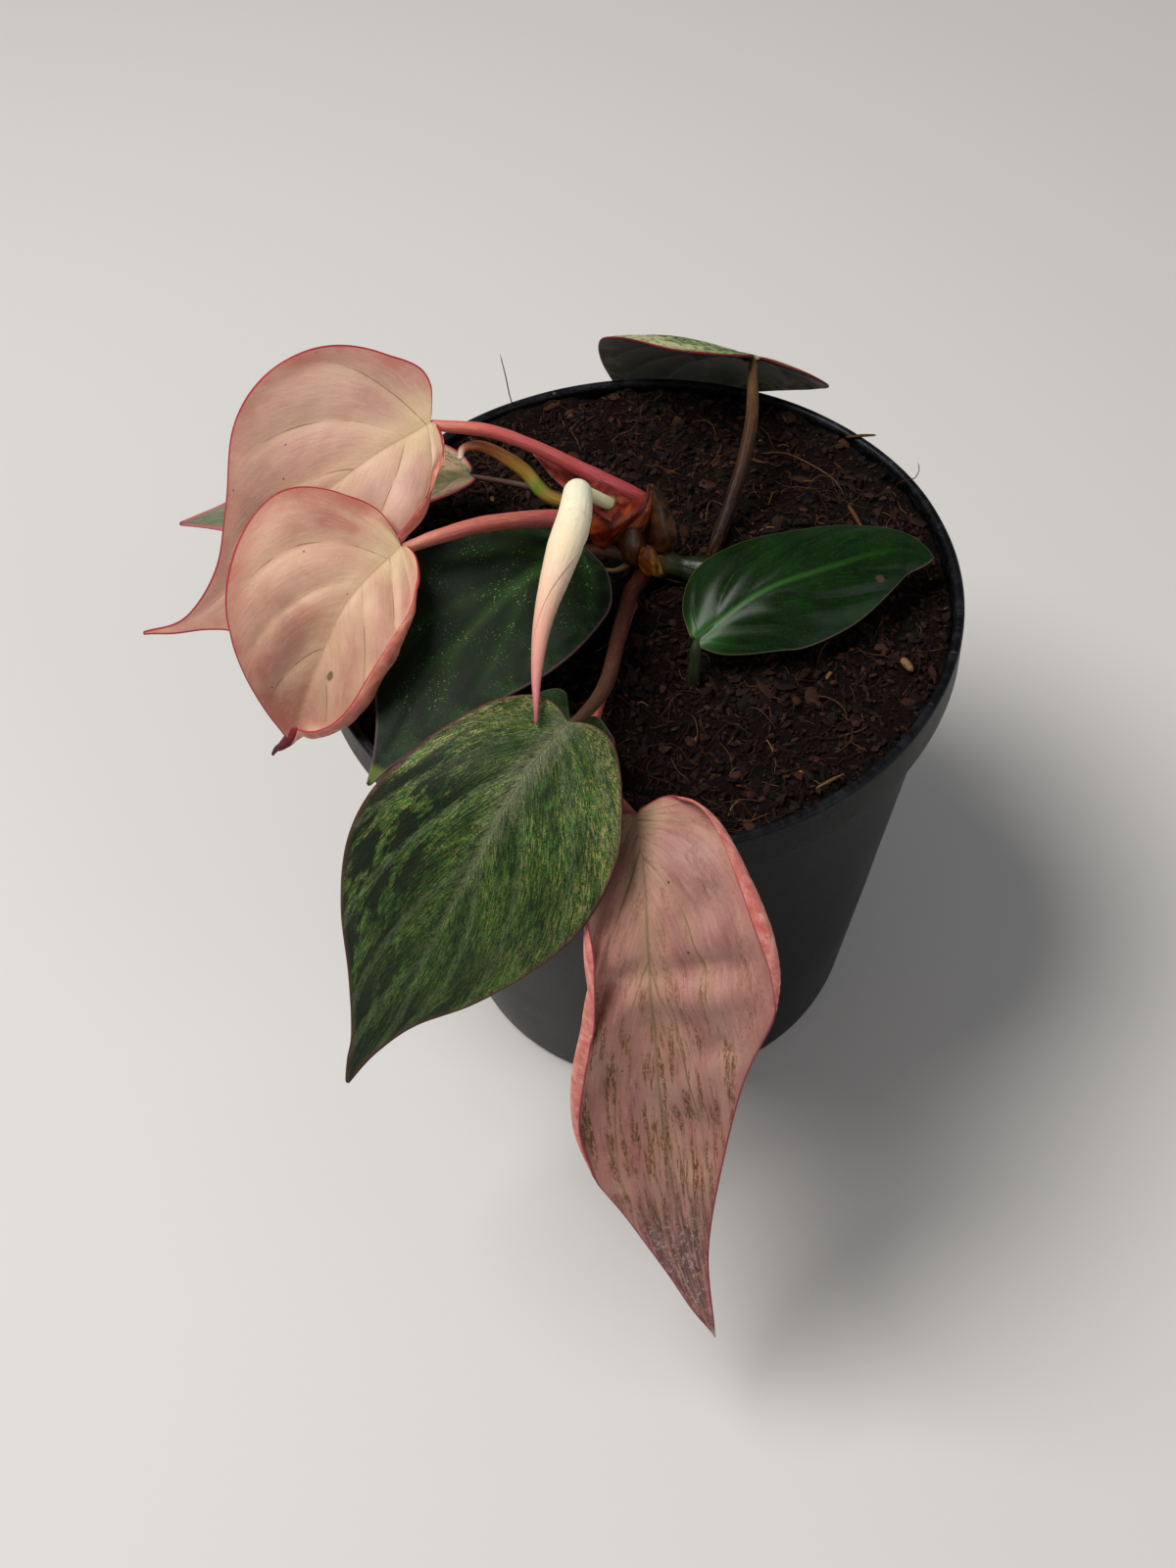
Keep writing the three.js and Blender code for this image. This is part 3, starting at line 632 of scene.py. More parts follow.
class Value:
    """What a socket gives, for use in sums."""

    def __init__(self, graph, socket):
        self.graph = graph
        self.socket = socket

    def __add__(self, other):
        return self.graph.math("ADD", self, other)

    def __sub__(self, other):
        return self.graph.math("SUBTRACT", self, other)

    def __rsub__(self, other):
        return self.graph.math("SUBTRACT", other, self)

    def __mul__(self, other):
        return self.graph.math("MULTIPLY", self, other)

    __radd__ = __add__
    __rmul__ = __mul__

    def step(self, low, high):
        """0 below low, 1 above high, smooth between; high may be the lower of the two."""
        inputs = {0: self, 1: min(low, high), 2: max(low, high)}
        rise = self.graph.value(0, "MapRange", inputs, interpolation_type="SMOOTHSTEP")
        return 1.0 - rise if low > high else rise

    def ramp(self, *stops):
        """A colour that runs through stops, each a value and a colour code."""
        made = self.graph.node("ValToRGB", {0: self})
        elements = made.color_ramp.elements
        for value, _ in stops[1:-1]:
            elements.new(value)
        for element, (value, code) in zip(elements, stops):
            element.position = value
            element.color = srgb(code)
        return Value(self.graph, made.outputs[0])


class Graph:
    """A material's nodes, made one call at a time."""

    def __init__(self, name):
        self.material = bpy.data.materials.new(name)
        self.material.use_nodes = True
        self.tree = self.material.node_tree
        self.tree.nodes.clear()

    def node(self, kind, inputs=None, **settings):
        made = self.tree.nodes.new("ShaderNode" + kind)
        for key, value in settings.items():
            setattr(made, key, value)
        for key, value in (inputs or {}).items():
            if isinstance(value, Value):
                self.tree.links.new(value.socket, made.inputs[key])
            else:
                made.inputs[key].default_value = value
        return made

    def value(self, output, kind, inputs=None, **settings):
        """What one output of a new node gives."""
        return Value(self, self.node(kind, inputs, **settings).outputs[output])

    def math(self, operation, *values):
        return self.value(0, "Math", dict(enumerate(values)), operation=operation)

    def larger(self, a, b):
        return self.math("MAXIMUM", a, b)

    def mix(self, share, a, b, blend="MIX"):
        return self.value(2, "Mix", {0: share, 6: a, 7: b}, data_type="RGBA", blend_type=blend)

    def coats(self, colour, *coats):
        """Colour under coats: each is a colour code and the shares whose product it covers."""
        for code, *shares in coats:
            colour = self.mix(math.prod(shares[1:], start=shares[0]), colour, srgb(code))
        return colour

    def attribute(self, name, output="Vector"):
        return self.value(output, "Attribute", attribute_name=name)

    def place(self):
        """Where a point is on the piece, in millimetres."""
        metres = self.value("Object", "TexCoord")
        return self.value(0, "VectorMath", {0: metres, 3: 1 / MM}, operation="SCALE")

    def split(self, vector):
        return [Value(self, socket) for socket in self.node("SeparateXYZ", {0: vector}).outputs]

    def join(self, x, y, z):
        return self.value(0, "CombineXYZ", {0: x, 1: y, 2: z})

    def noise(self, vector, scale, detail=2.0, roughness=0.5, distortion=0.0):
        inputs = {"Vector": vector, "Scale": scale, "Detail": detail, "Roughness": roughness,
                  "Distortion": distortion}
        return self.value(0, "TexNoise", inputs)

    def dots(self, vector, scale, size, share):
        """Round dots of a radius of size, on a share of the cells of a scattered pattern."""
        cells = self.node("TexVoronoi", {"Vector": vector, "Scale": scale}).outputs
        near = Value(self, cells["Distance"]).step(size, size * 0.6)
        chance = self.split(Value(self, cells["Color"]))[0]
        return near * self.math("LESS_THAN", chance, share)

    def finish(self, colour, roughness, height=None, depth=0.0, **constants):
        """The material, with the grain of its surface depth millimetres deep."""
        shader = self.node("BsdfPrincipled", {"Base Color": colour, "Roughness": roughness})
        for key, value in constants.items():
            shader.inputs[key.replace("_", " ")].default_value = value
        if height is not None:
            inputs = {"Height": height, "Distance": depth * MM, "Strength": 1.0}
            bump = self.node("Bump", inputs)
            self.tree.links.new(bump.outputs["Normal"], shader.inputs["Normal"])
        output = self.node("OutputMaterial")
        self.tree.links.new(shader.outputs[0], output.inputs[0])
        return self.material


class LeafGraph(Graph):
    """A blade's material, drawn by places on the flattened blade and along its veins."""

    def __init__(self, name, veins, seed):
        super().__init__(name)
        self.veins = veins
        self.seed = float(seed)
        self.along, self.across, self.edge = self.split(self.attribute("leaf"))
        self.q, self.t, self.side = self.split(self.attribute("vein"))
        self.gap = self.attribute("gap", "Fac")
        self.flat = self.join(self.along, self.across, self.seed)
        self.away = self.math("ABSOLUTE", self.across)

    def cloud(self, *settings):
        """Noise on the flattened blade."""
        return self.noise(self.flat, *settings)

    def streaks(self, count, stretch, seed, *settings):
        """Noise drawn out along the veins."""
        place = self.join(self.q * count, self.t * stretch, self.seed + seed)
        return self.noise(place, 1.0, *settings)

    def lines(self, width, soft, wander=0.0, density=1):
        """Lines along the veins, each width millimetres wide and density of them to a vein."""
        count = self.veins * density
        phase = self.q * count
        if wander:
            phase = phase + (self.streaks(count / 6, 2.5, 3) - 0.5) * wander
        off = self.math("PINGPONG", phase, 0.5) * self.gap * (1 / count)
        return off.step(width * 0.5 * soft, width * 0.5)

    def midrib(self, width, soft):
        return self.away.step(width + soft, width)

    def reach(self):
        """How far a place is from the stalk's end of the blade."""
        return self.math("SQRT", self.along * self.along + self.across * self.across)

    def spot(self, along, across, squeeze, ragged, inner):
        """One ragged mark on the blade."""
        shift = self.join(self.along - along, (self.across - across) * squeeze, 0.0)
        away = self.value("Value", "VectorMath", {0: shift}, operation="LENGTH")
        return (away + ragged).step(1.5, inner)

    def leaf(self, upper, under, roughness, height, depth, **constants):
        """The finished material, from the colours of the blade's two sides."""
        both = self.mix(self.side.step(0.45, 0.55), under, upper)
        return self.finish(both, roughness, height, depth, **constants)


def pink_leaf(g, blush, bloom=0.08, spot=None):
    """A soft pink and cream blade with a thin red margin, and a coral underside."""
    mottle = g.cloud(0.1, 4, 0.55, 0.6)
    patch = g.cloud(0.13, 3, 0.5, 0.5).step(0.42, 0.66)
    mauve = g.cloud(0.09, 3, 0.5, 0.4).step(0.56, 0.72)
    between = g.math("PINGPONG", g.q * g.veins, 0.5).step(0.1, 0.5)
    grain = g.streaks(80, 7, 1, 4, 0.65)
    pores = g.cloud(2.6, 3, 0.6)
    dots = g.larger(g.dots(g.flat, 0.3, 0.065, 0.55), g.dots(g.flat, 0.12, 0.042, 0.45))
    marks = [("563f22", g.spot(*spot, 1.7, pores * 0.8, 1), 0.8)] if spot else []
    upper = g.coats(
        mottle.ramp((0.32, "d6ac90"), (0.5, "cb9980"), (0.68, "b77e68")),
        ("b16a56", between, patch, blush),
        ("a47769", mauve, 0.4),
        ("cbb4ac", bloom),
        ("d6b490", g.away.step(6, 0.4), g.along.step(40, 8), 0.7),
        ("d4bf92", g.reach().step(8, 0.5), 0.75),
        ("e1c0a6", grain.step(0.48, 0.72), 0.3),
        ("a26b53", grain.step(0.5, 0.3), 0.16),
        ("b2795e", pores.step(0.55, 0.75), 0.18),
        ("dbba97", g.lines(1.2, 3.6, 0.1), g.edge.step(1, 5), 0.3),
        ("806038", g.lines(0.12, 2.4, 0.1), g.edge.step(2, 6), g.cloud(0.22).step(0.36, 0.62), 0.7),
        ("896b3d", g.midrib(0.1, 0.22), g.along.step(34, 12), 0.28),
        ("3c2117", dots, 0.85),
        *marks,
        # Painted shade: a darker rose-brown over the blade's lower part, away from the stalk, where it
        # turns from the light.
        ("8e5e4c", g.along.step(8, 34), mauve * 0.4 + 0.3, 0.5),
        ("bc6051", g.edge.step(4.5, 0.3), patch * 0.4 + 0.25),
        ("a01c2a", g.edge.step(0.42, 0.2)))
    under = g.coats(
        g.cloud(0.5, 4, 0.65).ramp((0.3, "be6452"), (0.52, "d07e69"), (0.74, "dfa28d")),
        ("dca890", g.lines(0.3, 2.2), 0.45),
        ("e0aa96", grain.step(0.5, 0.7), 0.35),
        ("a43a3c", g.edge.step(0.3, 0.1)))
    height = grain * 0.7 + g.cloud(3.2, 3, 0.6) * 0.8
    return g.leaf(upper, under, mottle * 0.2 + 0.4, height, 0.07, Sheen_Weight=0.08,
                  Sheen_Roughness=0.45, Specular_IOR_Level=0.35, **fleshy(0.15, (0.6, 0.25, 0.15)))


def dusty_leaf(g):
    """A dusty pink blade with olive streaks along its veins, and a coral underside."""
    reach = g.reach()
    grain = g.streaks(95, 7, 1, 4, 0.7)
    pores = g.cloud(2.2, 4, 0.7)
    low = g.along.step(16, 46)
    tip = g.along.step(58, 80)
    rows = g.lines(2.2, 1.8, 0.6, density=2) * (low * 0.75 + 0.25)
    patches = g.streaks(22, 6.5, 7, 3, 0.6)
    crumbs = g.streaks(100, 30, 5, 3, 0.75) * 0.6 + pores * 0.4
    broken = g.streaks(3, 1.6, 11, 3).step(0.42, 0.56)
    upper = g.coats(
        g.cloud(0.12, 4, 0.6, 0.5).ramp((0.3, "be9382"), (0.5, "b48073"), (0.7, "9e675f")),
        ("a6665f", g.streaks(8, 0.9, 4, 2).step(0.42, 0.68), 0.5),
        ("8b6360", g.streaks(5, 1.3, 14, 3).step(0.5, 0.66), 0.4),
        ("b48f75", g.away.step(5, 0.5), g.along.step(80, 16), 0.6),
        ("bba078", reach.step(8, 1), 0.6),
        ("c69d8b", grain.step(0.46, 0.74), 0.45),
        ("794c41", grain.step(0.5, 0.3), 0.25),
        ("85554a", pores.step(0.52, 0.7), 0.3),
        ("bd9a78", g.lines(1, 3.4, 0.1), 0.2),
        ("724b0c", rows, patches.step(0.48, 0.56), crumbs.step(0.43, 0.52), 0.92),
        ("4c3008", rows, patches.step(0.54, 0.62), crumbs.step(0.5, 0.57), 0.8),
        ("6c4226", patches.step(0.42, 0.62), crumbs.step(0.53, 0.6), low * 0.55 + 0.1),
        ("66552a", g.lines(0.16, 2.2, 0.1), g.edge.step(0.6, 3), broken, 0.6),
        ("6d6430", reach.step(14, 5), g.lines(0.16, 2.4, 0.5, density=3), 0.3),
        ("6f6636", g.midrib(0.1, 0.24), g.along.step(4, 14), 0.5),
        ("533c3e", tip, patches.step(0.34, 0.56), 0.75),
        ("c2a5a9", tip, g.cloud(1.5, 4, 0.75).step(0.53, 0.64), 0.75),
        ("3d2a22", tip, g.cloud(0.8, 3, 0.7).step(0.58, 0.68), 0.8),
        ("35200f", g.dots(g.flat, 0.2, 0.045, 0.4), 0.85),
        ("9e4e4c", g.edge.step(2, 0.2), 0.3),
        ("96283c", g.edge.step(0.3, 0.12)))
    under = g.coats(
        g.cloud(0.9, 4, 0.7).ramp((0.3, "b8584c"), (0.5, "cc766a"), (0.7, "dca094")),
        ("dca896", g.lines(0.3, 2.2), 0.4),
        ("a4424c", g.edge.step(0.25, 0.08)))
    return g.leaf(upper, under, grain * 0.2 + 0.42, pores * 0.8 + grain, 0.09, Sheen_Weight=0.08,
                  Sheen_Roughness=0.5, Specular_IOR_Level=0.32, **fleshy(0.1, (0.5, 0.25, 0.2)))


def flecked_leaf(g):
    """A green blade with cream and yellow-green flecks drawn out along its veins."""
    grain = g.streaks(170, 15, 1, 5, 0.75)
    patch = g.streaks(16, 2.6, 2, 3, 0.6)
    grit = grain * 0.68 + g.cloud(3.4, 4, 0.75) * 0.32
    flecks = g.streaks(200, 17, 5, 4, 0.7) * 0.7 + g.cloud(4.2, 2) * 0.3
    spread = g.along.step(66, 4) + g.cloud(0.045, 2) * 0.3
    rim = g.edge.step(7, 1) * flecks.step(0.47, 0.56) * g.along.step(60, 0)
    dark = g.streaks(11, 4.5, 8, 5, 0.72)
    # Painted shade: left and low mark the blade's shaded half and its lower part, where the dark
    # streaks below are laid on more thickly.
    left = g.across.step(1, 9) * g.along.step(2, 16)
    low = g.larger(left, g.along.step(30, 62)) * 0.75 + 0.25
    main = g.lines(0.5, 3, 0.12) * flecks.step(0.4, 0.56)
    upper = g.coats(
        grit.ramp((0.38, "0c1608"), (0.46, "172b0d"), (0.52, "2d4b16"), (0.6, "527030")),
        ("4c7f26", patch.step(0.44, 0.6), grit.step(0.42, 0.56), 0.5),
        ("aa9c62", flecks.step(0.51, 0.59), patch.step(0.36, 0.62), spread, 0.75),
        ("aea068", rim, patch.step(0.34, 0.52), 0.65),
        # Dark streaks: partly the blade's own dark patches, partly painted shade on its shaded half and
        # lower part.
        ("0c160a", dark.step(0.43, 0.52), low, 0.92),
        ("151a10", g.along.step(52, 72), flecks.step(0.58, 0.46), 0.7),
        ("1d3a2a", dark.step(0.46, 0.36), grit.step(0.56, 0.44), 0.4),
        ("74885a", main, 0.35),
        ("7d7a64", g.away.step(3.4, 0.3), g.along.step(40, 2), grit.step(0.38, 0.58), 0.6),
        ("858a68", g.midrib(0.15, 0.5), g.along.step(60, 14), grit.step(0.36, 0.54), 0.45),
        ("5a3c2e", g.edge.step(1.1, 0.3), 0.5),
        ("4c2024", g.edge.step(0.4, 0.2)))
    under = g.coats(
        g.cloud(0.3, 4, 0.6).ramp((0.3, "4c4a2c"), (0.5, "6c6540"), (0.72, "85654c")),
        ("92735a", g.lines(0.35, 2.2), 0.6),
        ("a09674", flecks.step(0.5, 0.6), 0.3),
        ("54202a", g.edge.step(0.6, 0.25)))
    return g.leaf(upper, under, grain * 0.25 + 0.4, grit * 1.4 + main * -0.6, 0.09,
                  Specular_IOR_Level=0.22)


def velvet_leaf(g, base="0a1507", light="213b17"):
    """A dark velvety blade with softly lighter veins and fine light specks of painted glint."""
    mottle = g.cloud(0.16, 4, 0.6)
    soft = g.lines(0.6, 6, 0.1) * g.edge.step(0.5, 6)
    rib = g.midrib(0.2, 1.5) * g.along.step(50, 6)
    grain = g.cloud(4.5, 3, 0.7)
    # Painted glint: tiny light green specks that stand in for the velvet's sparkle.
    painted_glint = g.cloud(3.4, 1).step(0.66, 0.7)
    patch = g.cloud(0.25, 3).step(0.42, 0.66)
    upper = g.coats(
        g.mix(mottle.step(0.35, 0.68), srgb(base), srgb("101f0c")),
        (light, soft, 0.4),
        ("36522a", rib, 0.5),
        ("223c1c", grain.step(0.45, 0.7), 0.25),
        # Painted glint specks, brighter along the veins.
        ("88a458", painted_glint, patch, rib + soft + 0.35),
        ("34552c", g.edge.step(5, 0.5), patch, 0.35),
        ("5c4448", g.edge.step(0.5, 0.22), 0.8),
        ("6c7a30", g.along.step(50.2, 51.6), mottle.step(0.3, 0.5), 0.65))
    under = g.coats(
        g.cloud(0.35, 4, 0.6).ramp((0.3, "3c2228"), (0.5, "4e2c30"), (0.7, "5a4038")),
        ("744a46", g.lines(0.35, 2.2), 0.6))
    return g.leaf(upper, under, painted_glint * -0.15 + 0.46, grain * 1.2 + mottle * 0.5, 0.07,
                  Sheen_Weight=0.08, Sheen_Roughness=0.35, Sheen_Tint=srgb("7c9460"),
                  Specular_IOR_Level=0.13)


def glossy_leaf(g):
    """A smooth deep green blade with bright highlights between its veins."""
    mottle = g.cloud(0.13, 4, 0.55)
    grain = g.streaks(60, 7, 1, 3, 0.6)
    cells = g.cloud(2.6, 3, 0.6)
    upper = g.coats(
        mottle.ramp((0.3, "061403"), (0.52, "0a2104"), (0.74, "123009")),
        ("061704", g.lines(0.5, 4, 0.1), 0.4),
        ("34661e", g.midrib(0.12, 0.6), g.along.step(46, 2), 0.6),
        ("2c661c", g.along.step(9, -1), g.away.step(6, 0.5), 0.5),
        ("1f4a16", grain.step(0.5, 0.7), 0.25),
        ("2c5c22", cells.step(0.5, 0.75), 0.15),
        ("523a2c", g.spot(31.5, 4.2, 1.2, g.cloud(1.2, 2) * 0.9, 0.9), 0.85),
        ("56523a", g.edge.step(0.35, 0.18)))
    under = g.coats(
        mottle.ramp((0.3, "38482a"), (0.7, "546040")),
        ("74805c", g.lines(0.35, 2.2), 0.6))
    return g.leaf(upper, under, cells * 0.12 + 0.28, cells * 0.5 + grain * 0.4, 0.035,
                  Specular_IOR_Level=0.19)


def olive_leaf(g):
    """A blade with a cream and green speckled face and an olive, brown-veined underside."""
    grain = g.streaks(120, 22, 1, 4, 0.7)
    patch = g.streaks(9, 1.6, 2, 2)
    upper = g.coats(
        grain.ramp((0.36, "2c4420"), (0.5, "6b7d4c"), (0.62, "b4b78a")),
        ("c8c49c", patch.step(0.46, 0.62), 0.6),
        ("1d3418", patch.step(0.5, 0.38), grain.step(0.6, 0.42), 0.8),
        ("2f4a26", g.cloud(0.9, 3, 0.6).step(0.52, 0.6), 0.6),
        ("94a070", g.midrib(0.25, 0.9), 0.5),
        ("6c2028", g.edge.step(0.35, 0.15)))
    mottle = g.streaks(14, 2.2, 6, 4, 0.6)
    under = g.coats(
        mottle.ramp((0.3, "0e1307"), (0.5, "191d0b"), (0.7, "2a220f")),
        ("3c2e14", g.lines(0.4, 3), 0.5),
        ("32381a", grain.step(0.5, 0.68), 0.3),
        ("6c6438", g.edge.step(6, 0.8), g.cloud(0.4, 3).step(0.42, 0.62), 0.55),
        ("0c0e08", g.dots(g.flat, 0.07, 0.09, 0.5), 0.9),
        ("4c161c", g.edge.step(0.3, 0.12)))
    return g.leaf(upper, under, grain * 0.15 + 0.5, grain + g.cloud(2.6, 3) * 0.8, 0.07,
                  Specular_IOR_Level=0.06)


def tan_leaf(g):
    """A small tan blade with a green streak, a pink margin and a grey-green tip."""
    grain = g.streaks(60, 9, 1, 3, 0.65)
    patch = g.streaks(8, 1.4, 2, 2)
    upper = g.coats(
        grain.ramp((0.3, "a08261"), (0.5, "c2a280"), (0.7, "d6bd98")),
        ("5e7044", patch.step(0.46, 0.6), grain.step(0.62, 0.42), 0.8),
        ("3f5a30", g.midrib(0.4, 1.3), grain.step(0.3, 0.6), 0.8),
        ("4e5e46", g.along.step(26, 40), grain.step(0.2, 0.55), 0.9),
        ("3c3524", g.dots(g.flat, 0.5, 0.09, 0.4), 0.7),
        ("b0505c", g.edge.step(0.6, 0.3)))
    under = g.coats(
        grain.ramp((0.3, "8c5a48"), (0.7, "b8846a")),
        ("cf9c80", g.lines(0.3, 2.2), 0.5))
    return g.leaf(upper, under, grain * 0.15 + 0.42, grain + g.cloud(2.4, 2) * 0.5, 0.06,
                  Sheen_Weight=0.1, Specular_IOR_Level=0.4)


def stalk_material(name, stops, dark, light, stripes=0.35, rough=0.38, seed=0.0, shine=0.4):
    """A stalk whose colour runs through stops along it, with fine lengthwise stripes."""
    g = Graph(name)
    t, turn, distance = g.split(g.attribute("stalk"))
    x = g.math("COSINE", turn * (2 * math.pi))
    y = g.math("SINE", turn * (2 * math.pi))
    stripe = g.noise(g.join(distance * 0.12, x * 1.6, y * 1.6 + seed), 2.2, 3, 0.6)
    blotch = g.noise(g.join(distance * 0.5, x, y + seed), 1.2, 3, 0.6)
    fleck = g.noise(g.join(distance * 2.4, x * 4.0, y), 2.0, 2)
    colour = g.coats(
        t.ramp(*stops),
        (light, stripe.step(0.52, 0.72), stripes),
        (dark, stripe.step(0.48, 0.3), stripes),
        (dark, blotch.step(0.56, 0.72), 0.3),
        (light, fleck.step(0.66, 0.74), 0.4))
    return g.finish(colour, blotch * 0.15 + rough, stripe + fleck * 0.3, 0.12,
                    Specular_IOR_Level=shine, **fleshy(0.1, (0.5, 0.2, 0.1)))


def sheath_material(name, codes, seed):
    """A thin dry scale, brittle and shiny, with fibres along it."""
    g = LeafGraph(name, 4, seed)
    fibre = g.streaks(60, 3, 1, 3, 0.6)
    patch = g.cloud(0.4, 2, 0.5, 0.5)
    colour = g.coats(
        (patch * 0.9 + fibre * 0.1).ramp(*zip((0.34, 0.5, 0.66), codes)),
        ("3a140c", fibre.step(0.5, 0.3), 0.2),
        ("4a1a10", g.edge.step(0.35, 0.05), 0.7))
    return g.finish(colour, patch * 0.16 + 0.2, fibre + patch * 0.8, 0.06,
                    Specular_IOR_Level=0.3, **fleshy(0.2, (1.0, 0.35, 0.1)))


def pot_material():
    """Black moulded plastic, dusty and scuffed, most of all on the rim, with a painted highlight along
    the top of the rim's lip.
    """
    g = Graph("black_pot_plastic")
    x, y, z = g.split(g.value("Object", "TexCoord"))
    height = z * (1 / MM)
    turn = g.math("ARCTAN2", y, x)
    x, y = g.math("COSINE", turn) * 50, g.math("SINE", turn) * 50
    wrapped = g.join(x, y, height)
    cloud = g.noise(wrapped, 0.045, 4, 0.6)
    haze = g.noise(g.join(x, y, height * 0.12), 0.5, 3, 0.6)
    scratch = g.noise(g.join(turn * 9, height * 0.9, 2.0), 2.4, 4, 0.7, 1.2)
    scuff = scratch.step(0.58, 0.68) * height.step(86, 89)
    flock = g.noise(wrapped, 0.06, 2).step(0.46, 0.6)
    dust = g.larger(g.dots(wrapped, 0.85, 0.15, 0.22), g.dots(wrapped, 1.9, 0.2, 0.14)) * flock
    colour = g.coats(
        g.mix(cloud.step(0.35, 0.7), srgb("050506"), srgb("0a0a0c")),
        ("16171a", haze.step(0.55, 0.75), 0.3),
        ("3c4048", scuff, 0.45),
        # Painted highlight: patchy blue-grey sheen along the top of the rim's lip.
        ("33363e", height.step(94.6, 95.9), g.noise(wrapped, 0.3, 4, 0.7).step(0.42, 0.62), 0.3),
        ("6a6762", dust, 0.7),
        ("4a453e", g.noise(wrapped, 0.12, 4, 0.65).step(0.58, 0.68), height.step(30, 4), 0.35))
    rough = cloud * 0.18 + 0.3 + g.larger(scuff, dust) * 0.3
    grain = scuff * 0.8 + (dust * 0.8 + g.noise(wrapped, 1.4, 3, 0.6))
    return g.finish(colour, rough, grain, 0.05, Specular_IOR_Level=0.12)


def mix_material():
    """Dark moist coir."""
    g = Graph("coir_bed")
    place = g.place()
    coarse = g.noise(place, 0.35, 5, 0.7)
    fine = g.noise(place, 1.6, 5, 0.75, 0.6)
    drawn = g.value(0, "VectorMath", {0: place, 1: (0.2, 1.6, 1.0)}, operation="MULTIPLY")
    thread = g.noise(drawn, 1.3, 3, 0.7, 2.0)
    stops = (0.28, "080403"), (0.48, "150c08"), (0.62, "27150d"), (0.78, "422618")
    damp = g.mix(coarse.step(0.35, 0.65), fine.ramp(*stops), srgb("716660"), "MULTIPLY")
    colour = g.coats(
        damp,
        ("21120b", coarse.step(0.5, 0.7), 0.5),
        ("452a19", thread.step(0.62, 0.7), 0.4))
    return g.finish(colour, fine * 0.3 + 0.62, fine + coarse, 0.9, Specular_IOR_Level=0.12)


def bit_material(name, *stops):
    """Loose bits, each with a tint of its own."""
    g = Graph(name)
    grain = g.noise(g.place(), 2.8, 4, 0.7)
    colour = g.coats(
        g.attribute("tint", "Fac").ramp(*stops),
        ("1d110b", grain.step(0.55, 0.35), 0.6),
        ("a07c58", grain.step(0.6, 0.78), 0.35))
    return g.finish(colour, grain * 0.2 + 0.7, grain, 0.12, Specular_IOR_Level=0.15)


# Nursery pot

def wall_radius(z):
    """The pot's outer radius under the rim, at a height."""
    top = RIM_RADIUS - RIM_STEP
    return BASE_RADIUS + (top - BASE_RADIUS) * z / (POT_HEIGHT - RIM_DEPTH)


def mouth_radius():
    """The pot's inner radius at the rim."""
    return RIM_RADIUS - RIM_LIP


def arc(centre, radius, start, end, steps):
    """Points of an arc in the profile's plane, by angles in degrees."""
    turns = np.radians(np.linspace(start, end, steps))
    return [(centre[0] + radius * math.cos(a), centre[1] + radius * math.sin(a)) for a in turns]


def pot_profile():
    """The shell's outline from the middle of its underside, over the rim, to its floor inside."""
    skirt = POT_HEIGHT - RIM_DEPTH
    roll = RIM_LIP / 2
    foot = BASE_CORNER
    edge = EDGE_RADIUS
    points = [(AXIS_GAP, 0.0), (BASE_RADIUS - FOOT_WIDTH, 0.0)]
    points += arc((BASE_RADIUS - foot, foot), foot, -90, 0, 7)
    points += [(wall_radius(z), z) for z in np.linspace(3, skirt - 1.2, 30)]
    points += arc((wall_radius(skirt) + edge, skirt - 0.6), edge, 180, 90, 4)
    points += arc((RIM_RADIUS - edge, skirt + 0.4), edge, -90, 0, 4)
    points += [(RIM_RADIUS, z) for z in np.linspace(skirt + 1.4, POT_HEIGHT - roll - 0.4, 5)]
    points += arc((RIM_RADIUS - roll, POT_HEIGHT - roll), roll, 0, 180, 14)
    points += [(mouth_radius(), z) for z in np.linspace(POT_HEIGHT - 2, skirt + 0.8, 4)]
    points += [(wall_radius(skirt) - WALL, skirt - WALL)]
    points += [(wall_radius(z) - WALL, z) for z in np.linspace(skirt - 6, BASE_THICKNESS, 10)]
    points += [(AXIS_GAP, BASE_THICKNESS)]
    return np.array(points)


def make_pot():
    profile = pot_profile()
    turns = around(POT_SEGMENTS)
    r = profile[:, 0][:, None] + 0 * turns
    z = profile[:, 1][:, None] + 0 * turns
    places = np.stack([r * np.cos(turns), r * np.sin(turns), z], -1)
    sway = 0.18 * noise(places, 26, 5) + 0.04 * noise(places, 6, 6)
    sway = sway * ramp((z - 6) / 20) * ramp(r / 20)
    out = np.stack([np.cos(turns), np.sin(turns), 0 * turns], -1)[None]
    places = places + out * sway[..., None]
    faces = grid_faces(len(profile), POT_SEGMENTS, wrap=True)
    cut_holes(piece("nursery_pot_shell", places.reshape(-1, 3), faces, "nursery_pot",
                    pot_material()))


def cut_holes(pot):
    """Drainage holes through the base."""
    places, faces = [], []
    sides, depth = 32, 3 * BASE_THICKNESS
    for turn in around(HOLE_COUNT):
        x, y = HOLE_CIRCLE * math.cos(turn), HOLE_CIRCLE * math.sin(turn)
        start = len(places)
        for z in (-depth, depth):
            places += [(x + HOLE_RADIUS * math.cos(a), y + HOLE_RADIUS * math.sin(a), z)
                       for a in around(sides)]
        faces += grid_faces(2, sides, wrap=True, start=start)
        faces.append([start + k for k in reversed(range(sides))])
        faces.append([start + sides + k for k in range(sides)])
    cutter = add_object("hole_cutters", mesh_of("hole_cutters", places, faces))
    cut = pot.modifiers.new("drainage", "BOOLEAN")
    cut.operation = "DIFFERENCE"
    cut.solver = "EXACT"
    cut.object = cutter
    bpy.context.view_layer.objects.active = pot
    bpy.ops.object.modifier_apply(modifier=cut.name)
    bpy.data.objects.remove(cutter)
    pot.data.set_sharp_from_angle(angle=math.radians(35))


# Potting mix

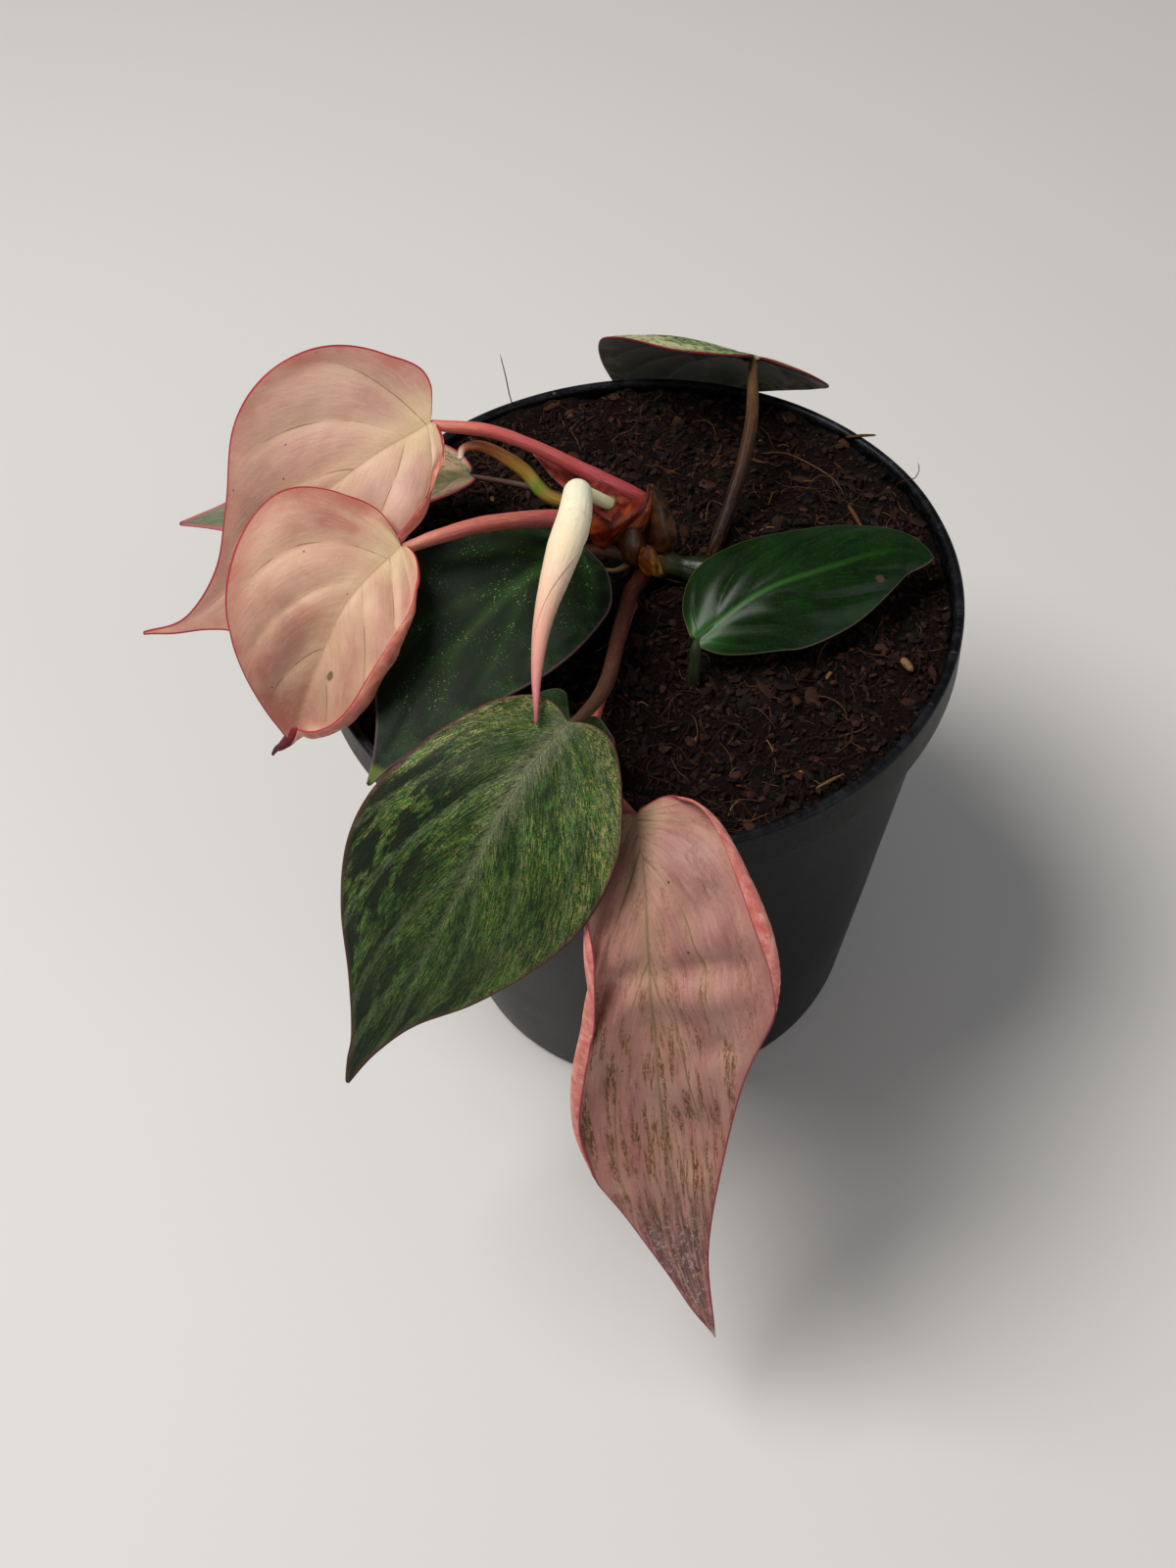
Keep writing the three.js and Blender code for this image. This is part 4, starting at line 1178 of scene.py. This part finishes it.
def mix_height(x, y):
    """The mix's surface: a gentle slope, slow waves and crumbs."""
    bump = np.sin(0.21 * x + 1) * np.cos(0.17 * y) + 0.6 * np.sin(0.33 * y - 0.19 * x)
    smooth = MIX_LEVEL + MIX_SLOPE * y + MIX_BUMP * bump
    flat = np.stack([x, y, np.zeros_like(x)], -1)
    rough = 0.8 * noise(flat, 7, 2) + 0.7 * noise(flat, 3, 3) + 0.6 * noise(flat, 1.4, 4)
    return smooth + rough * 0.8 + 0.3 * noise(flat, 0.8, 5)


def mix_top(x, y):
    """The mix's height at one spot."""
    return float(mix_height(np.array(x), np.array(y)))


def make_mix():
    top = mouth_radius() - MIX_CLEARANCE
    turns = around(MIX_SEGMENTS)
    rings = [(top * (i + 0.02) / MIX_RINGS, None) for i in range(MIX_RINGS + 1)]
    rings += [(top, POT_HEIGHT - RIM_DEPTH + 1.2)]
    rings += [(wall_radius(z) - WALL - MIX_CLEARANCE, z) for z in (86, 60, 35, 12)]
    floor = wall_radius(MIX_FLOOR) - WALL - MIX_CLEARANCE
    rings += [(floor * share, MIX_FLOOR) for share in (0.98, 0.75, 0.5, 0.25, 0.02)]
    places = []
    for radius, z in rings:
        radius = min(radius, top)
        x, y = radius * np.cos(turns), radius * np.sin(turns)
        height = mix_height(x, y) if z is None else np.full_like(x, z)
        places.append(np.stack([x, y, height], -1))
    places = np.concatenate(places)
    faces = [face[::-1] for face in grid_faces(len(rings), MIX_SEGMENTS, wrap=True)]
    piece("potting_mix_bed", places, faces, "potting_mix", mix_material())


def ball():
    """The corners and faces of a twenty-sided solid of radius 1."""
    g = (1 + 5 ** 0.5) / 2
    corners = [(-1, g, 0), (1, g, 0), (-1, -g, 0), (1, -g, 0), (0, -1, g), (0, 1, g),
               (0, -1, -g), (0, 1, -g), (g, 0, -1), (g, 0, 1), (-g, 0, -1), (-g, 0, 1)]
    faces = [(0, 11, 5), (0, 5, 1), (0, 1, 7), (0, 7, 10), (0, 10, 11), (1, 5, 9), (5, 11, 4),
             (11, 10, 2), (10, 7, 6), (7, 1, 8), (3, 9, 4), (3, 4, 2), (3, 2, 6), (3, 6, 8),
             (3, 8, 9), (4, 9, 5), (2, 4, 11), (6, 2, 10), (8, 6, 7), (9, 8, 1)]
    return unit(np.array(corners)), faces


def scatter_spot(rng, reach):
    """A place on the mix, as likely in any part of it."""
    radius = reach * math.sqrt(rng.random())
    turn = rng.random() * 2 * math.pi
    return radius * math.cos(turn), radius * math.sin(turn)


def make_chips(name, count, smallest, largest, material, seed, flat, sink):
    """Irregular bits lying half sunk in the mix."""
    rng = random.Random(seed)
    shape = np.random.RandomState(seed)
    corners, sides = ball()
    places, faces, tints = [], [], []
    reach = mouth_radius() - 0.9
    for i in range(count):
        x, y = scatter_spot(rng, reach)
        size = smallest + (largest - smallest) * rng.random() ** 2.2
        stretch = np.array([1 + 0.9 * rng.random(), 0.6 + 0.4 * rng.random(), flat])
        own = corners * (1 + 0.28 * shape.uniform(-1, 1, (12, 1))) * stretch * size / 2
        tilt = Vector((rng.gauss(0, 0.5), rng.gauss(0, 0.5), 1)).normalized()
        spin = Matrix.Rotation(rng.random() * 6.283, 3, "Z")
        turn = np.array(tilt.to_track_quat("Z", "Y").to_matrix() @ spin)
        z = mix_top(x, y) + size * (0.5 * flat - sink * flat)
        own = own @ turn.T + np.array([x, y, z])
        start = 12 * i
        places.append(own)
        faces += [tuple(start + k for k in side) for side in sides]
        tints += [rng.random()] * 12
    piece(name, np.concatenate(places), faces, None, material, {"tint": tints},
          sharp=38)


def fibre_route(rng, x, y, length, curl, hop):
    """A thin curved route that lies on the mix and bows up a little off it."""
    heading = rng.random() * 2 * math.pi
    turn = rng.gauss(0, curl)
    points = []
    steps = FIBRE_STEPS
    limit = mouth_radius() - 0.6
    for i in range(steps):
        lift = hop * math.sin(math.pi * i / (steps - 1))
        points.append([x, y, mix_top(x, y) + FIBRE_REST + lift])
        heading += turn + rng.gauss(0, curl * 0.6)
        x += math.cos(heading) * length / steps
        y += math.sin(heading) * length / steps
        if math.hypot(x, y) > limit:
            shrink = limit / math.hypot(x, y)
            x, y = x * shrink, y * shrink
    return points


def make_fibres(name, count, lengths, radii, curl, material, seed, seen):
    """Scattered fibres, and those seen one by one in the photograph."""
    rng = random.Random(seed)
    places, faces, tints, routes = [], [], [], []
    reach = mouth_radius() - 1.5
    for _ in range(count):
        x, y = scatter_spot(rng, reach)
        length = rng.uniform(*lengths)
        hop = rng.random() ** 3 * 0.22 * length
        routes.append((fibre_route(rng, x, y, length, curl, hop), rng.uniform(*radii)))
    total = 0
    for points, radius in routes + seen:
        own, sides, _ = tube(points, [radius * 0.7, radius, radius * 0.6], rings=12, sides=5)
        places.append(own)
        faces += [tuple(total + k for k in side) for side in sides]
        tints += [rng.random()] * len(own)
        total += len(own)
    piece(name, np.concatenate(places), faces, None, material, {"tint": tints})


# Stage

def make_stage():
    size = FLOOR_HALF_WIDTH
    corners = [(-size, -size, 0), (size, -size, 0), (size, size, 0), (-size, size, 0)]
    mesh = mesh_of("floor", corners, [(0, 1, 2, 3)])
    mesh.materials.append(Graph("pale_floor").finish(srgb("d9d7d3"), 0.7))
    floor = add_object("floor", mesh)


def soft_light(name, place, width, power, tint):
    data = bpy.data.lights.new(name, "AREA")
    data.shape = "DISK"
    data.size = width
    data.energy = power
    data.color = tint
    lamp = add_object(name, data)
    lamp.location = place
    towards = Vector(LIT_POINT) - Vector(place)
    lamp.rotation_euler = towards.to_track_quat("-Z", "Y").to_euler()


def make_lights():
    soft_light("key", (-0.38, 0.02, 0.86), 0.5, 8.0, (1.0, 0.975, 0.95))
    soft_light("fill", (0.75, -0.6, 0.5), 0.9, 2.6, (0.98, 0.98, 1.0))
    world = bpy.data.worlds.new("studio")
    world.use_nodes = True
    background = world.node_tree.nodes["Background"].inputs
    background["Color"].default_value = (0.93, 0.95, 1.0, 1)
    background["Strength"].default_value = 0.15
    bpy.context.scene.world = world
    bpy.context.scene.view_settings.view_transform = "Standard"


def make_camera():
    across = math.cos(VIEW_PITCH)
    forward = Vector((math.sin(VIEW_YAW) * across, math.cos(VIEW_YAW) * across,
                      -math.sin(VIEW_PITCH)))
    level = forward.cross(Vector((0, 0, 1))).normalized()
    above = level.cross(forward)
    right = math.cos(VIEW_ROLL) * level + math.sin(VIEW_ROLL) * above
    up = -math.sin(VIEW_ROLL) * level + math.cos(VIEW_ROLL) * above
    data = bpy.data.cameras.new("camera")
    data.sensor_fit = "VERTICAL"
    data.sensor_height = SENSOR
    data.lens = FOCAL_PIXELS * SENSOR / FRAME_HEIGHT_PIXELS
    data.clip_start = 0.01
    camera = add_object("camera", data)
    turn = Matrix((right, up, -forward)).transposed().to_4x4()
    camera.matrix_world = Matrix.Translation(Vector(EYE) * MM) @ turn
    bpy.context.scene.camera = camera


# Leaves

LEAF_FINISHES = {
    "upper_pink": ("pink_leaf", pink_leaf, {"blush": 0.4, "bloom": 0.3}),
    "front_pink": ("pink_leaf", pink_leaf, {"blush": 0.8, "spot": (24, -2.6)}),
    "dark_velvet": ("velvet_leaf", velvet_leaf, {}),
    "large_green": ("flecked_leaf", flecked_leaf, {}),
    "long_pink": ("dusty_pink_leaf", dusty_leaf, {}),
    "glossy_green": ("glossy_leaf", glossy_leaf, {}),
    "small_left": ("tan_leaf", tan_leaf, {}),
    "olive_under": ("velvet_leaf", velvet_leaf, {"base": "1f2612", "light": "343c1c"}),
    "back": ("olive_leaf", olive_leaf, {}),
}

# Colours along each stalk from its foot to the blade, then its dark and light stripes
STALK_FINISHES = {
    "upper_pink": ("pink_stalk", ["a83c40", "bc4e50", "c45e56", "cc7c64"], "9c3840", "d88c7c"),
    "front_pink": ("pink_stalk", ["a04848", "b05450", "bc6658", "d08c74"], "9c4440", "dca08c"),
    "dark_velvet": ("brown_stalk", ["3c2418", "4a3020", "3f4020"], "2a1a12", "6c5838"),
    "large_green": ("brown_stalk", ["3c1a12", "46241a", "4a2c22", "4a3a26"], "2c1610", "70503e"),
    "long_pink": ("pink_stalk", ["7c3c30", "944838", "a85444", "bc765c"], "6c3026", "cc9078"),
    "glossy_green": ("green_stem", ["1f1c10", "1c260f", "264015"], "12180a", "3c5024"),
    "small_left": ("brown_stalk", ["503428", "54403a", "685444"], "34241c", "8a7460"),
    "olive_under": ("brown_stalk", ["3a2c1a", "403820", "3c3c20"], "281f12", "6a5c3c"),
    "back": ("brown_stalk", ["1a0c06", "28150b", "4c321e", "7c5e40"], "24130a", "8a6a46"),
}
# How many ridges a stalk has and how deep they are, as a share of its radius
RIDGED = {"back": (7, 0.05)}
PLAIN_RIDGES = (3, 0.03)
PINK_SHINE = 0.4
BROWN_SHINE = 0.15


def even_stops(codes):
    """Colour codes spread evenly from 0 to 1."""
    return [(i / (len(codes) - 1), code) for i, code in enumerate(codes)]


def make_leaves():
    for name, leaf in LEAVES.items():
        slot, finish, extra = LEAF_FINISHES[name]
        graph = LeafGraph(f"{name}_blade", leaf["veins"], leaf["seed"])
        make_blade(name, leaf, finish(graph, **extra))
        slot, codes, dark, light = STALK_FINISHES[name]
        material = stalk_material(f"{name}_stalk", even_stops(codes), dark, light,
                                  seed=float(leaf["seed"]),
                                  shine=PINK_SHINE if slot == "pink_stalk" else BROWN_SHINE)
        ridges, depth = RIDGED.get(name, PLAIN_RIDGES)
        make_petiole(name, leaf, slot, material, ridges, depth)


# New growth, stem and sheaths

# Scars round the stem: middle, direction of the stem there, radius
STEM_RINGS = [
    ([-1.2, 6.9, 101], [0.1, 0.5, 0.9], 2.2),
    ([2.2, 6.3, 97], [-0.8, 0.1, 0.5], 2.15),
    ([-3.8, 7.1, 108.8], [-0.5, -0.3, 0.8], 1.2),
]


def grow(name, node, slot, stops, look, points, radii, **shape):
    """A tube with the look of a stalk: its stripes, dark and light, how far they cover it, its
    roughness, its seed and, where it is given, its shine."""
    material = stalk_material(name, stops, *look)
    make_tube(name, node, points, radii, slot, material, **shape)


def make_new_leaf():
    stops = [(0.0, "e6e8c6"), (0.14, "f2eecf"), (0.3, "f3e2bf"), (0.46, "eacbac"),
             (0.62, "dfab95"), (0.8, "cf8a80"), (0.92, "bf6872"), (1.0, "a42c4e")]
    grow("new_leaf_roll_skin", "new_leaf_roll", "cream_leaf", stops,
         ("d8a48c", "f6ecd0", 0.12, 0.36, 5.0),
         [[-8.4, 5.6, 115], [-9.2, -2.6, 115.6], [-11.6, -13, 116], [-13.9, -23, 115.9],
          [-15, -32.4, 115.6], [-15.3, -42.2, 114.6]],
         [2.1, 2.6, 2.8, 2.3, 1.6, 1.1, 0.65, 0.2],
         rings=150, sides=48, sharp=40, seam=(0.06, 0.26, 0.86), rough=0.012)
    grow("new_leaf_stalk_skin", "new_leaf_stalk", "cream_leaf",
         even_stops(["c9c08a", "dcd4a8", "d8cfa4"]), ("a89a68", "f0e8c8", 0.2, 0.36, 9.0),
         [[-3.3, 7.4, 107.9], [-4.2, 6.9, 109.3], [-5.8, 6.4, 111.1], [-8.2, 5.9, 113.6]],
         [1.15, 1.1, 1.05, 0.9], rings=40, rough=0.03)


def make_tips():
    """The dried hook at the front pink leaf's tip, and the pale point of the long leaf."""
    grow("front_pink_hook", None, "pink_leaf", even_stops(["8c2c34", "5c141f", "3c0c16"]),
         ("2c060e", "a0444c", 0.4, 0.35, 21.0),
         [[-54.6, -22.2, 93.6], [-56, -23.2, 91.2], [-57.4, -23.9, 90.2], [-58.4, -24, 89.6],
          [-59.2, -24.4, 88.6]],
         [0.9, 1.1, 0.85, 0.5, 0.22], rings=60, sides=20, rough=0.12, seed=6, ridges=2,
         ridge_depth=0.2)
    grow("long_pink_point", None, "dusty_pink_leaf", even_stops(["7c5c54", "d0bca8"]),
         ("5c443c", "e8dcc8", 0.3, 0.4, 23.0),
         [[5.6, -97.2, 29.2], [6, -98, 28], [6.3, -98.5, 27]], [0.45, 0.3, 0.12],
         rings=24, sides=12)


def make_hooked_tube():
    stops = [(0.0, "8a642c"), (0.24, "ac843c"), (0.34, "a88a38"), (0.41, "6a8e24"),
             (0.47, "a0882f"), (0.64, "a06a26"), (0.8, "964a20"), (0.92, "a8583a"), (1.0, "ecdcc8")]
    grow("hooked_tube_skin", "hooked_tube", "green_stem", stops, ("7a5a28", "d8c880", 0.3, 0.32, 3.0),
         [[-5.4, 11, 104.6], [-13, 10, 108], [-17.5, 12.4, 112.6], [-23, 14, 116],
          [-26.2, 12.6, 117.4], [-27, 10.6, 116.6]],
         [1, 1.1, 1.15, 1.1, 0.9, 0.4], rings=110, seam=(0.12, 0.2, 0.3), sharp=40, rough=0.03)


def make_stem():
    stops = [(0.0, "0f1508"), (0.2, "18220c"), (0.34, "141f0b"), (0.42, "34391a"), (0.5, "3a2410"),
             (0.62, "4a2912"), (0.8, "4c2818"), (1.0, "5c281c")]
    grow("main_stem_skin", "main_stem", "green_stem", stops,
         ("120e07", "64582c", 0.4, 0.26, 11.0, 0.3),
         [[15.5, 2.2, 92.6], [12.6, 3.4, 95], [8, 5, 95.6], [3.4, 6.2, 96.4], [0, 6.6, 98.2],
          [-1.2, 6.8, 100.6], [-0.6, 8.4, 103.6], [0.3, 10.2, 106.6]],
         [1.6, 2.6, 3.0, 2.5, 1.8, 2.6, 2.1, 2.6, 2.8, 2.0, 1.9, 1.4],
         rings=150, sides=40, rough=0.06, seed=4, ridges=4, ridge_depth=0.03)
    grow("aerial_root_skin", "aerial_root", "brown_stalk", even_stops(["7a5c38", "a08050", "b89c68"]),
         ("54381f", "ccb484", 0.3, 0.5, 13.0),
         [[-0.6, 6.2, 98], [-1.6, 5.6, 96.4], [-3.4, 5.6, 95.2], [-5.2, 6.2, 94.9], [-7, 6.8, 95]],
         [0.6, 0.5, 0.42, 0.3, 0.15], rings=50, rough=0.08)
    scale = stalk_material("stem_ring_skin", even_stops(["5c3a1c", "7c5024"]),
                           "2c1a0e", "c89850", 0.5, 0.28, 17.0)
    for i, ring in enumerate(STEM_RINGS):
        make_tube(f"stem_ring_{i}", None, ring_route(*ring), [0.15, 0.26, 0.15], "brown_stalk",
                  scale, rings=60, sides=12, rough=0.2, seed=i)


def ring_route(centre, direction, radius):
    """A wavy, nearly closed ring round the stem."""
    turn = Vector(direction).to_track_quat("Z", "Y").to_matrix()
    angles = np.linspace(-0.2, 2 * math.pi - 0.5, 14)
    return [list(Vector(centre) + turn @ Vector((radius * math.cos(a), radius * math.sin(a),
                                                 0.2 * math.sin(3 * a)))) for a in angles]


# Torn sheets: the CAD node each takes the place of, its colours, its seed and its rows of places
SHEETS = {
    "pink_sheath": ("pink_sheath", ["642420", "8c3c34", "a6584a"], 51, [
        [[-16.1, 15.8, 113.4], [-15.9, 15.5, 113.2], [-15.8, 15.2, 113.3]],
        [[-10.9, 14, 112.4], [-11.4, 12.8, 111], [-12.7, 10.6, 112]],
        [[-6.2, 11.4, 111], [-7.2, 10, 109], [-9, 6.9, 110.8]],
        [[-1.7, 8.4, 109.6], [-3, 7.1, 107.2], [-5.1, 4, 109.2]],
        [[1.2, 6.4, 107.2], [-0.5, 6.2, 105.6], [-2.7, 4.6, 106.4]]]),
    "torn_sheath": ("torn_sheath", ["400c06", "681a0a", "98400c"], 53, [
        [[-7.6, 5.6, 107.4], [-3.8, 6.2, 109.1], [-0.4, 7.6, 108.7], [2.9, 9.6, 108.6]],
        [[-7.4, 4.2, 105.4], [-4.2, 3.4, 106.6], [-1.4, 4.8, 107], [1.5, 7, 106.9]],
        [[-6.6, 4.4, 102.6], [-5.3, 3.6, 101.8], [-4, 4.3, 102.8], [-2, 5.2, 104.4]]]),
    "torn_sheath_fold": (None, ["400c06", "6c200a", "90400e"], 54, [
        [[2.9, 9.7, 108.6], [3.5, 10.2, 108.4], [3.8, 10.8, 107.4]],
        [[1.2, 7, 106.6], [2.2, 7.4, 106.6], [3, 8.4, 105.6]],
        [[-1.6, 5.3, 104.8], [0, 5.4, 104.6], [1.6, 6.4, 103.6]]]),
    "olive_sheath": ("olive_sheath", ["1e160a", "3c2412", "50361a"], 57, [
        [[2.3, 11.6, 108.2], [3.3, 10.6, 109.2], [4.5, 11.2, 107.4]],
        [[1.9, 8.8, 105.2], [4.1, 7.4, 106.6], [6.2, 8.6, 104.4]],
        [[1.6, 7.4, 101.8], [4.1, 5.4, 103.2], [6.8, 6.2, 101.4]],
        [[1.8, 7, 98.8], [3.8, 5, 99.4], [5.6, 5.6, 98.2]]]),
    "papery_sheath": ("papery_sheath", ["4c2008", "8c4812", "dc9c3c"], 59, [
        [[0.9, 5, 101.2], [1.5, 4.6, 101.5], [2.1, 5.2, 100.8]],
        [[0.2, 3.8, 99], [1.4, 3.1, 99.4], [2.8, 4, 98.7]],
        [[0.9, 3.2, 96.8], [1.9, 2.7, 96.2], [3.2, 3.5, 95.8]]]),
    "papery_flap": (None, ["40220a", "804e18", "d0a050"], 61, [
        [[1.7, 5, 101.4], [2.5, 5, 101], [3.1, 5.8, 100]],
        [[2.1, 3.7, 98.9], [3.1, 3.4, 98.6], [3.9, 4.2, 97.8]],
        [[2.4, 3, 96.4], [3.4, 2.8, 95.8], [4.6, 3.4, 95.4]]]),
}


def make_sheaths():
    for name, (node, codes, seed, control) in SHEETS.items():
        material = sheath_material(f"{name}_skin", codes, seed)
        make_sheet(f"{name}_skin", node, control, material, seed)


# Fibres and straws seen one by one: points, radius
LOOSE_FIBRES = [
    ([[22.3, 32.8, 94], [26.4, 31.4, 95.2], [31, 27.4, 95.6], [34.4, 24.2, 95],
      [35.9, 21, 94]], 0.13),
    ([[-19.8, 46.2, 93], [-20.9, 47.8, 97], [-21.3, 48.5, 101], [-21.9, 48.9, 106]], 0.12),
    ([[44.2, 22, 93], [44.6, 21.5, 95.8], [45.5, 20.8, 97.2], [47.2, 20.2, 98.2],
      [47.8, 20.2, 100], [47.4, 20, 102]], 0.1),
]
LOOSE_STRAWS = [
    ([[25.1, -40, 93.2], [27.2, -39.2, 93.8], [29.5, -37.7, 93.4]], 0.3),
    ([[36, 17.9, 95.2], [37, 15.4, 94.8], [37.9, 12.9, 94.4]], 0.4),
    ([[41, -15.4, 93.6], [42.4, -18.2, 93.6]], 0.75),
    ([[37.2, 33.6, 96], [39.8, 33.2, 96.5], [42.4, 32.8, 96.8]], 0.3),
]


def make_bed():
    make_mix()
    dark = bit_material("coir_chips", (0, "0a0605"), (0.5, "170d09"), (0.8, "28160e"), (1, "40251a"))
    tan = bit_material("tan_bits", (0, "472b19"), (0.5, "684527"), (1, "866642"))
    thin = bit_material("coir_fibres", (0, "1a0f0a"), (0.6, "392215"), (1, "68482c"))
    make_chips("coir_crumbs", 8600, 0.35, 1.3, dark, 101, flat=0.7, sink=0.2)
    make_chips("coir_chips", 1300, 1.0, 2.6, dark, 102, flat=0.4, sink=0.25)
    make_chips("pale_bits", 60, 0.6, 1.9, tan, 103, flat=0.3, sink=0.1)
    make_fibres("coir_fibres", 1100, (2, 9), (0.04, 0.12), 0.2, thin, 104, LOOSE_FIBRES)
    make_fibres("straws", 60, (1.5, 5), (0.1, 0.2), 0.08, tan, 105, LOOSE_STRAWS)


make_camera()
make_lights()
make_stage()
make_pot()
make_bed()
make_stem()
make_sheaths()
make_leaves()
make_tips()
make_new_leaf()
make_hooked_tube()
